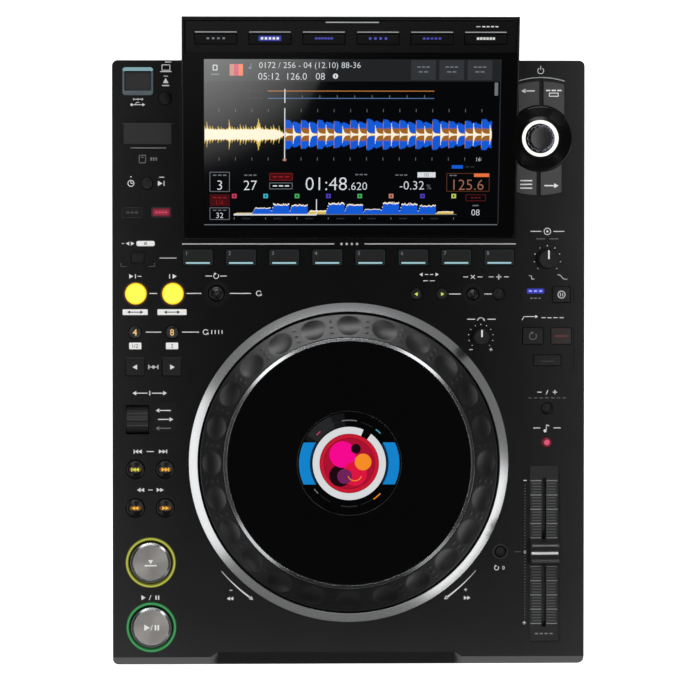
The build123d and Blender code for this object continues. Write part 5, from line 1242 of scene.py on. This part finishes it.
def draw_wave(s, up):
    """Level lines, and the large wave: pale with many teeth before the playhead, and after it blue
    swells with a warm middle, a pale spike on each half beat and a thin line on each beat."""
    chance = np.random.default_rng(5)
    s.bar("screen orange", 145.5, 31.6, 165, 0.8, lift=up)
    s.bar("screen steel", 145.5, 38.9, 165, 0.8, lift=up)
    s.dashes("screen deep red", 50, 31.6, 6, 3, 3.6, 1.0, lift=up)
    s.dashes("screen dim", 50, 38.9, 6, 3, 3.6, 1.0, lift=up)
    s.bars("screen grey", np.arange(80, 230, 17.3), 37.4, 0.6, 3.4, lift=up * 2)
    s.plate("screen grey", 289.6, 29.5, 3.4, 13.0, 0.6, lift=up)
    playhead, beat, centre, step = 80.0, 16.3, 75.0, 0.5
    wide = step * 1.02
    past = np.arange(0.8, playhead, step)
    tooth = beat_phase(past, 0, 2.75)
    reach = chance.uniform(0.25, 1, 40)[(past / 2.75).astype(int)]
    tall = 13 * np.exp(-np.abs(past - 54) / 1.1) + 5 * np.exp(-np.abs(past - 25) / 0.8)
    spike = 10 * reach * np.exp(-tooth / 0.4) * (0.6 + 0.5 * np.exp(-past / 12)) + tall
    body = 4.6 * np.clip((playhead - past) / 9, 0.12, 1) ** 0.7
    fade = np.clip((playhead - past) / 5, 0, 1)
    s.bars("screen yellow", past, centre, wide, 2 * (body + spike * fade), lift=up)
    s.bars("screen cream", past, centre, wide, 2 * (body + 0.3 * spike * (past < 76)), lift=up * 2)
    ahead = np.arange(playhead + 1, 286, step)
    phase, late = beat_phase(ahead, playhead, beat), beat_phase(ahead, playhead + beat / 2, beat)
    which = ((ahead - playhead) / beat * 2).astype(int)
    grit = chance.random(len(ahead))
    loud = chance.uniform(0.86, 1, 40)[which // 2]
    swell = 16 * loud * (1 - 0.3 * phase ** 2 - 0.14 * np.exp(-((phase - 0.44) / 0.09) ** 2)) - 0.9 * grit
    s.bars("screen blue", ahead, centre, wide, 2 * swell, lift=up)
    warm = np.where(chance.random(40)[which] > 0.3, 5.4 + 1.6 * grit, 1.6)
    s.bars("screen brown", ahead, centre, wide, 2 * warm, lift=up * 2)
    core = 11 * np.exp(-late / 0.075) + 4.2 * np.exp(-phase / 0.09) + 0.8
    s.bars("screen cream", ahead, centre, wide, 2 * core, lift=up * 3)
    s.bars("screen orange", np.arange(playhead + beat, 284, beat), centre, 0.5, 27, lift=up * 4)
    ticks = np.arange(playhead - 4 * beat, 285, beat)
    for y in (51, 99.5):
        s.bars("screen grey", ticks, y, 0.5, 3.2, lift=up)
    s.bar("screen white", playhead, 36.5, 1.0, 14, lift=up * 4)
    s.bar("screen white", playhead, 74, 1.0, 51, lift=up * 4)
    s.plate("screen rose", playhead, 100.4, 3.6, 2.2, 0.8, lift=up * 4)
    s.figures("screen white", "16", 273, 99.8, 3.6, lift=up)


def draw_numbers(s, up):
    """Player, track, time, tempo and beats a minute."""
    s.frame("screen grey", 15.5, 122.5, 20, 20, 0.6, 0.6, lift=up)
    s.figures("screen white", "3", 15.5, 125.8, 9.4, lift=up)
    s.dashes("screen grey", 15.5, 115.8, 5, 3, 3.4, 1.2, lift=up)
    s.dashes("screen grey", 46, 115.8, 4.5, 3, 3.0, 1.2, lift=up)
    s.figures("screen white", "27", 46, 126, 9.6, lift=up)
    s.bar("screen deep red", 76.5, 117.4, 23, 7.4, lift=up)
    s.frame("screen red", 76.5, 117.4, 23, 7.4, 0.4, 0.5, lift=up * 2)
    s.dashes("screen red", 76.5, 117.4, 6, 3, 4.2, 1.4, lift=up * 2)
    s.frame("screen grey", 76.5, 126.6, 23, 6.6, 0.4, 0.6, lift=up)
    s.dashes("screen white", 76.5, 126.6, 6, 3, 4.2, 1.2, lift=up)
    s.figures("screen white", "01:48", 121.6, 124.4, 13.0, lift=up)
    s.figures("screen white", ".620", 153.2, 126.8, 7.6, lift=up)
    s.dashes("screen grey", 156.4, 115.2, 4.4, 3, 3.0, 1.1, lift=up)
    s.dashes("screen grey", 196.4, 115.6, 4.4, 3, 3.0, 1.1, lift=up)
    s.bar("screen white", 221.5, 115.4, 18, 5.2, lift=up)
    s.figures("screen ground", "10", 221.5, 115.4, 3.6, lift=up * 2)
    s.figures("screen white", "-0.32", 207, 126, 8.4, lift=up)
    s.figures("screen grey", "%", 224, 127.6, 5.0, lift=up)
    s.bar("screen blue", 252, 107.4, 11, 3.4, lift=up)
    s.dashes("screen dim", 264.5, 107.4, 5, 2, 3.6, 1.2, lift=up)
    s.frame("screen rust", 263, 123, 43, 18.6, 0.6, 0.6, lift=up)
    s.figures("screen clay", "125.6", 263.5, 125.4, 10.4, lift=up)
    s.dashes("screen grey", 248, 116.0, 4, 2, 3.0, 1.1, lift=up)
    s.bar("screen tag", 276.4, 115.8, 15, 3.4, lift=up * 2)
    s.frame("screen maroon", 271, 138.5, 20, 6.6, 0.4, 0.5, lift=up)
    s.dashes("screen maroon", 271, 138.5, 3.5, 3, 2.4, 1.3, lift=up)
    s.bar("screen grey", 271, 146.4, 6, 1.1, lift=up).figures("screen white", "08", 271, 153.4, 6.0, lift=up)
    s.bar("screen deep red", 15.5, 141, 20, 12, lift=up)
    s.dashes("screen red", 15.5, 138.4, 5, 3, 3.6, 1.2, lift=up * 2)
    s.figures("screen red", "1/4", 15.5, 143.4, 4.6, lift=up * 2)
    s.frame("screen grey", 15.5, 154.6, 20, 12.4, 0.6, 0.6, lift=up)
    s.figures("screen white", "32", 15.5, 156.4, 5.4, lift=up)
    s.dashes("screen grey", 15.5, 151.2, 5, 3, 3.4, 0.9, lift=up)


def draw_overview(s, up):
    """Markers and the whole tune: loudness in plain steps, a pale crest over a blue body."""
    hues = ("screen pink", "screen cyan", "screen green", "screen purple", "screen green", "screen rose",
            "screen purple", "screen lime")
    left, right, part, base = 30, 249, 18.3, 155
    for at, hue in zip(np.linspace(left, right, len(hues)), hues):
        s.bar(hue, at, 136.8, 4.6, 4.4, lift=up).bar("screen ground", at, 136.8, 1.4, 2.0, lift=up * 2)
    chance = np.random.default_rng(11)
    x = np.arange(left, right, 0.8)
    levels = np.array([1.2, 6.4, 10.2, 9.4, 3.6, 11.2, 9.8, 5.0, 11.6, 10.6, 8.8, 2.6])
    level = levels[((x - left) / part).astype(int)]
    crest = level * (0.92 + 0.16 * chance.random(len(x)))
    crest = crest * np.clip(((x - left) / part % 1) / 0.14, 0.35, 1)
    quiet = level < 4
    s.bars("screen cream", x, base - crest / 2, 0.82, crest, lift=up)
    s.bars("screen yellow", x[quiet], base - crest[quiet] * 0.35, 0.82, crest[quiet] * 0.7, lift=up * 2)
    s.bars("screen blue", x[~quiet], base - crest[~quiet] * 0.44, 0.82, crest[~quiet] * 0.88, lift=up * 2)
    s.bar("screen white", 70.5, 155.6, 82, 1.5, lift=up * 3)
    s.bar("screen grey", 182, 155.4, 140, 0.7, lift=up * 3)
    s.bar("screen white", 112, 148, 0.9, 16, lift=up * 4)
    s.bars("screen grey", np.arange(30, 250, 31.3), 159.4, 0.6, 2.0, lift=up)
    s.bars("screen dim", np.arange(42, 250, 31.3), 159.6, 8.0, 1.0, lift=up)


def make_screen():
    """The lit screen: header, level lines, large wave, numbers, markers and the whole tune below."""
    s = ScreenMarks()
    across, down = SCREEN_COLUMNS / 2, SCREEN_ROWS / 2
    s.bar("screen ground", across, down, SCREEN_COLUMNS, SCREEN_ROWS)
    s.bar("screen grey", across, 165.8, SCREEN_COLUMNS, 0.8).bar("screen dim", 293.6, down, 0.9, SCREEN_ROWS)
    for draw in (draw_header, draw_wave, draw_numbers, draw_overview):
        draw(s, SCREEN_LAYER)
    s.shell.piece("screen_picture", "case", "cover_glass", smooth=False)


def make_display_marks():
    """Silver lines and pictograms printed on the display's frame and its menu keys."""
    m = Marks(on_slope, 0.0)
    m.bar("silver line", 0.8, 153.8, 36.4, 0.75)
    middles = (np.arange(MENU_KEYS) - (MENU_KEYS - 1) / 2) * MENU_PITCH
    m.bars("silver line", middles, 147.0, 28.5, 0.6)
    m.bar("white ink", middles[5] - 5.4, 150.9, 3.0, 0.5)
    m.dashes("white ink", middles[5] + 2.9, 150.9, 3, 4, 2.0, 0.8)
    m.level = MENU_TOP
    m.plate("mode blue", middles[1], MENU_U + 0.8, 15.6, 3.6, 0.6)
    inks = ("tick light", "blank label", "menu blue", "menu blue", "menu blue", "white ink")
    for k, ink in enumerate(inks):
        places = middles[k] + np.linspace(-5.4, 5.4, 4 + k % 3)
        m.bars(ink, places, MENU_U + 0.8, 1.7, 1.7 if k % 2 else 1.3, lift=0.03)
    m.shell.piece("display_marks", "case", "housing_gloss", smooth=False)


# ---------------------------------------------------------------- studio


# The camera: where it looks, where it stands from there, and its scale at that distance
VIEW_TARGET = (-0.0005, -0.005, 0.068)
VIEW_OFFSET = (-0.1, 0.1, 3.0)
PIXELS_PER_METRE = 1435.0
IMAGE_WIDTH = 696.0
SENSOR_WIDTH = 36.0
FLOOR_HALF = 8.0

# Lamp: degrees round from +X, degrees up, metres away, width and height in metres, watts
LAMPS = {
    "lamp_left": (190, 20, 2.0, 2.3, 0.62, 8.8),
    "lamp_right": (326, 22, 2.0, 1.9, 0.62, 8.2),
    "lamp_rear": (97, 44, 2.2, 1.7, 0.45, 18.5),
    "near_left": (168, 66, 1.2, 0.9, 0.24, 1.2),
    "near_right": (12, 66, 1.2, 0.9, 0.24, 1.2),
    "over_left": (182, 80.5, 2.54, 1.3, 0.24, 2.1),
    "over_right": (1, 76.1, 2.58, 1.3, 0.3, 3.5),
    "over_front": (270, 73.0, 2.62, 1.0, 0.16, 5.6),
    "corner_rear_right": (45, 54, 1.25, 0.3, 0.22, 0.55),
    "corner_rear_left": (135, 54, 1.25, 0.3, 0.22, 0.5),
    "corner_front_left": (230, 48, 1.35, 0.34, 0.22, 0.4),
    "corner_front_right": (308.7, 46, 1.39, 0.3, 0.22, 0.16),
}
LAMP_TARGET = (0.0, 0.0, 0.07)
# A faint narrow beam, whose mirror image in the cover glass is the soft light over the screen
GLINT = {"place": (-0.146, -0.37, 1.2), "target": (-0.127, 0.152, 0.12), "size": (0.3, 0.4),
         "power": 0.0031, "turn": -25.7, "spread": 6.7}


def area_light(name, place, target, size, power, turn=0.0, spread=180.0):
    """A soft rectangular lamp in metres that looks at a point, turned and narrowed by degrees."""
    lamp = bpy.data.lights.new(name, "AREA")
    lamp.shape, lamp.size, lamp.size_y = "RECTANGLE", size[0], size[1]
    lamp.energy, lamp.spread = power, math.radians(spread)
    holder = bpy.data.objects.new(name, lamp)
    holder.location = place
    facing = (Vector(target) - Vector(place)).to_track_quat("-Z", "Y")
    holder.rotation_euler = (facing @ Quaternion((0, 0, 1), math.radians(turn))).to_euler()
    bpy.context.scene.collection.objects.link(holder)


def make_lamps():
    """Lamps round the deck and above it, all facing its middle, and one whose edge crosses the screen."""
    centre = np.array(LAMP_TARGET)
    for name, (around, up, away, width, height, power) in LAMPS.items():
        a, e = math.radians(around), math.radians(up)
        way = np.array([math.cos(e) * math.cos(a), math.cos(e) * math.sin(a), math.sin(e)])
        area_light(name, centre + away * way, centre, (width, height), power)
    area_light("screen_glint", **GLINT)


def make_floor(colour):
    """A wide pale floor that shows white to the camera and keeps the object's shadow."""
    material, tree, shader = new_finish("studio floor", Base_Color=tuple(colour), Roughness=0.9)
    mesh = bpy.data.meshes.new("studio_floor")
    corners = [(x * FLOOR_HALF, y * FLOOR_HALF, 0) for x, y in ((-1, -1), (1, -1), (1, 1), (-1, 1))]
    mesh.from_pydata(corners, [], [(0, 1, 2, 3)])
    mesh.materials.append(material)
    floor = bpy.data.objects.new("studio_floor", mesh)
    bpy.context.scene.collection.objects.link(floor)
    path = tree.nodes.new("ShaderNodeLightPath")
    seen = path.outputs["Is Camera Ray"]
    for ray in ("Is Glossy Ray", "Is Transmission Ray"):
        either = add_node(tree, "ShaderNodeMath", {0: seen, 1: path.outputs[ray]}, operation="MAXIMUM")
        seen = either.outputs[0]
    glow = add_node(tree, "ShaderNodeMath", {0: seen, 1: 0.9}, operation="MULTIPLY")
    tree.links.new(glow.outputs[0], shader.inputs["Emission Strength"])
    shader.inputs["Emission Color"].default_value = (1, 1, 1, 1)


def make_world():
    """Dark overhead and bright towards the horizon, so gloss seen from above stays black."""
    world = bpy.data.worlds.new("studio")
    bpy.context.scene.world = world
    world.use_nodes = True
    tree = world.node_tree
    place = tree.nodes.new("ShaderNodeTexCoord")
    apart = add_node(tree, "ShaderNodeSeparateXYZ", {0: place.outputs["Generated"]})
    ramp = add_node(tree, "ShaderNodeMapRange",
                    {"Value": apart.outputs[2], "From Min": 0.5, "From Max": 0.75,
                     "To Min": 0.3, "To Max": 0.012},
                    interpolation_type="SMOOTHSTEP")
    back = tree.nodes["Background"]
    tree.links.new(ramp.outputs[0], back.inputs["Strength"])
    back.inputs["Color"].default_value = (1, 1, 1, 1)


def make_camera():
    """A long lens almost straight overhead, a little to the left rear."""
    target = Vector(VIEW_TARGET)
    place = target + Vector(VIEW_OFFSET)
    lens = bpy.data.cameras.new("camera")
    lens.sensor_fit, lens.sensor_width = "HORIZONTAL", SENSOR_WIDTH
    lens.lens = PIXELS_PER_METRE * (place - target).length * SENSOR_WIDTH / IMAGE_WIDTH
    lens.clip_end = 30.0
    camera = bpy.data.objects.new("camera", lens)
    camera.location = place
    forward = (target - place).normalized()
    right = forward.cross(Vector((0, 1, 0))).normalized()
    up = right.cross(forward)
    camera.rotation_euler = Matrix((right, up, -forward)).transposed().to_euler()
    bpy.context.scene.collection.objects.link(camera)
    bpy.context.scene.camera = camera


# ---------------------------------------------------------------- values and operators


class DeckSizes(bpy.types.PropertyGroup):
    """Sizes that a user may change."""

    dimples: bpy.props.IntProperty(
        name="Dimples", description="Finger dimples round the jog wheel", default=24)
    dimple_depth: bpy.props.FloatProperty(
        name="Dimple depth", description="Depth of a finger dimple", default=0.00075, unit="LENGTH")
    tooth_height: bpy.props.FloatProperty(
        name="Tooth height", description="Height of the small teeth between two dimples", default=0.00024,
        unit="LENGTH")
    speed_knob_height: bpy.props.FloatProperty(
        name="Speed knob height", description="Height of the start and stop speed knob over its well",
        default=0.013, unit="LENGTH")
    adjust_knob_height: bpy.props.FloatProperty(
        name="Adjust knob height", description="Height of the wheel's weight knob over its well",
        default=0.012, unit="LENGTH")


class DeckColours(bpy.types.PropertyGroup):
    """Colours that a user may change."""

    panel: bpy.props.FloatVectorProperty(
        name="Panel", description="Colour of the matte top panel", default=linear("040405"),
        subtype="COLOR", size=3)
    wedge: bpy.props.FloatVectorProperty(
        name="Wedge", description="Colour of the display's wedge", default=linear("09090a"),
        subtype="COLOR", size=3)
    dial: bpy.props.FloatVectorProperty(
        name="Grip ring", description="Colour of the wheel's grip ring", default=linear("0a0a0b"),
        subtype="COLOR", size=3)
    metal: bpy.props.FloatVectorProperty(
        name="Button metal", description="Colour of the cue and play buttons", default=linear("868380"),
        subtype="COLOR", size=3)
    floor: bpy.props.FloatVectorProperty(
        name="Floor", description="Colour of the studio floor", default=(0.86, 0.86, 0.86),
        subtype="COLOR", size=3)


class DECK_OT_finishes(bpy.types.Operator):
    """Make every finish and dress the CAD nodes that stay in view"""

    bl_idname = "deck.finishes"
    bl_label = "Finishes"

    def execute(self, context):
        make_finishes(context.scene.deck_colours)
        dress_nodes()
        return {"FINISHED"}


class DECK_OT_jog_wheel(bpy.types.Operator):
    """Build the rim, the grip ring with its dimples, the chrome ring and the plate"""

    bl_idname = "deck.jog_wheel"
    bl_label = "Jog wheel"

    def execute(self, context):
        make_jog_wheel(context.scene.deck_sizes)
        make_jog_display()
        return {"FINISHED"}


class DECK_OT_keys(bpy.types.Operator):
    """Build the caps of the round and square keys and the pads"""

    bl_idname = "deck.keys"
    bl_label = "Keys and pads"

    def execute(self, context):
        make_caps()
        make_pads()
        return {"FINISHED"}


class DECK_OT_transport(bpy.types.Operator):
    """Build the cue and play buttons with their lit rings"""

    bl_idname = "deck.transport"
    bl_label = "Transport buttons"

    def execute(self, context):
        make_transport()
        return {"FINISHED"}


class DECK_OT_selector(bpy.types.Operator):
    """Build the browse selector with its skirt, lit ring and fluted knob"""

    bl_idname = "deck.selector"
    bl_label = "Selector"

    def execute(self, context):
        make_selector()
        return {"FINISHED"}


class DECK_OT_knobs(bpy.types.Operator):
    """Build the two small knobs, the tempo slider's cap and the direction lever"""

    bl_idname = "deck.knobs"
    bl_label = "Knobs, slider and lever"

    def execute(self, context):
        sizes = context.scene.deck_sizes
        make_knob("vinyl_speed_knob", VINYL_SPEED, 7.2, 6.4, sizes.speed_knob_height / MM)
        make_knob("jog_adjust_knob", JOG_ADJUST, 5.9, 5.2, sizes.adjust_knob_height / MM)
        make_slider()
        make_lever()
        return {"FINISHED"}


class DECK_OT_small_keys(bpy.types.Operator):
    """Build the stick's lit frame and the keys that share one node"""

    bl_idname = "deck.small_keys"
    bl_label = "Small keys and stick frame"

    def execute(self, context):
        make_stick_frame()
        make_small_keys()
        return {"FINISHED"}


class DECK_OT_marks(bpy.types.Operator):
    """Print the lines, scales, figures and pictograms of the panel, keys and display"""

    bl_idname = "deck.marks"
    bl_label = "Marks"

    def execute(self, context):
        make_panel_marks()
        make_key_marks()
        make_display_marks()
        return {"FINISHED"}


class DECK_OT_screen(bpy.types.Operator):
    """Draw the lit screen"""

    bl_idname = "deck.screen"
    bl_label = "Screen"

    def execute(self, context):
        make_screen()
        return {"FINISHED"}


class DECK_OT_stage(bpy.types.Operator):
    """Set the floor, the world, the lamps and the camera"""

    bl_idname = "deck.stage"
    bl_label = "Studio"

    def execute(self, context):
        make_floor(context.scene.deck_colours.floor)
        make_world()
        make_lamps()
        make_camera()
        context.scene.view_settings.view_transform = "Standard"
        return {"FINISHED"}


class DECK_PT_panel(bpy.types.Panel):
    """Lists the deck's values and its operators in the order they run"""

    bl_idname = "DECK_PT_panel"
    bl_label = "Media deck"
    bl_space_type = "VIEW_3D"
    bl_region_type = "UI"
    bl_category = "Media deck"

    def draw(self, context):
        for group in (context.scene.deck_sizes, context.scene.deck_colours):
            for name in type(group).__annotations__:
                self.layout.prop(group, name)
        for step in STEPS:
            self.layout.operator(step.bl_idname)


STEPS = (DECK_OT_finishes, DECK_OT_jog_wheel, DECK_OT_keys, DECK_OT_transport, DECK_OT_selector,
         DECK_OT_knobs, DECK_OT_small_keys, DECK_OT_marks, DECK_OT_screen, DECK_OT_stage)
CLASSES = (DeckSizes, DeckColours, *STEPS, DECK_PT_panel)


def register():
    """Registers every class and hangs the two groups of values on the scene."""
    for cls in CLASSES:
        bpy.utils.register_class(cls)
    bpy.types.Scene.deck_sizes = bpy.props.PointerProperty(type=DeckSizes)
    bpy.types.Scene.deck_colours = bpy.props.PointerProperty(type=DeckColours)


def unregister():
    """Undoes register in the other order."""
    del bpy.types.Scene.deck_colours
    del bpy.types.Scene.deck_sizes
    for cls in reversed(CLASSES):
        bpy.utils.unregister_class(cls)


def main():
    """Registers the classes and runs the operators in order."""
    register()
    for step in STEPS:
        area, name = step.bl_idname.split(".")
        getattr(getattr(bpy.ops, area), name)()


if __name__ == "__main__":
    main()
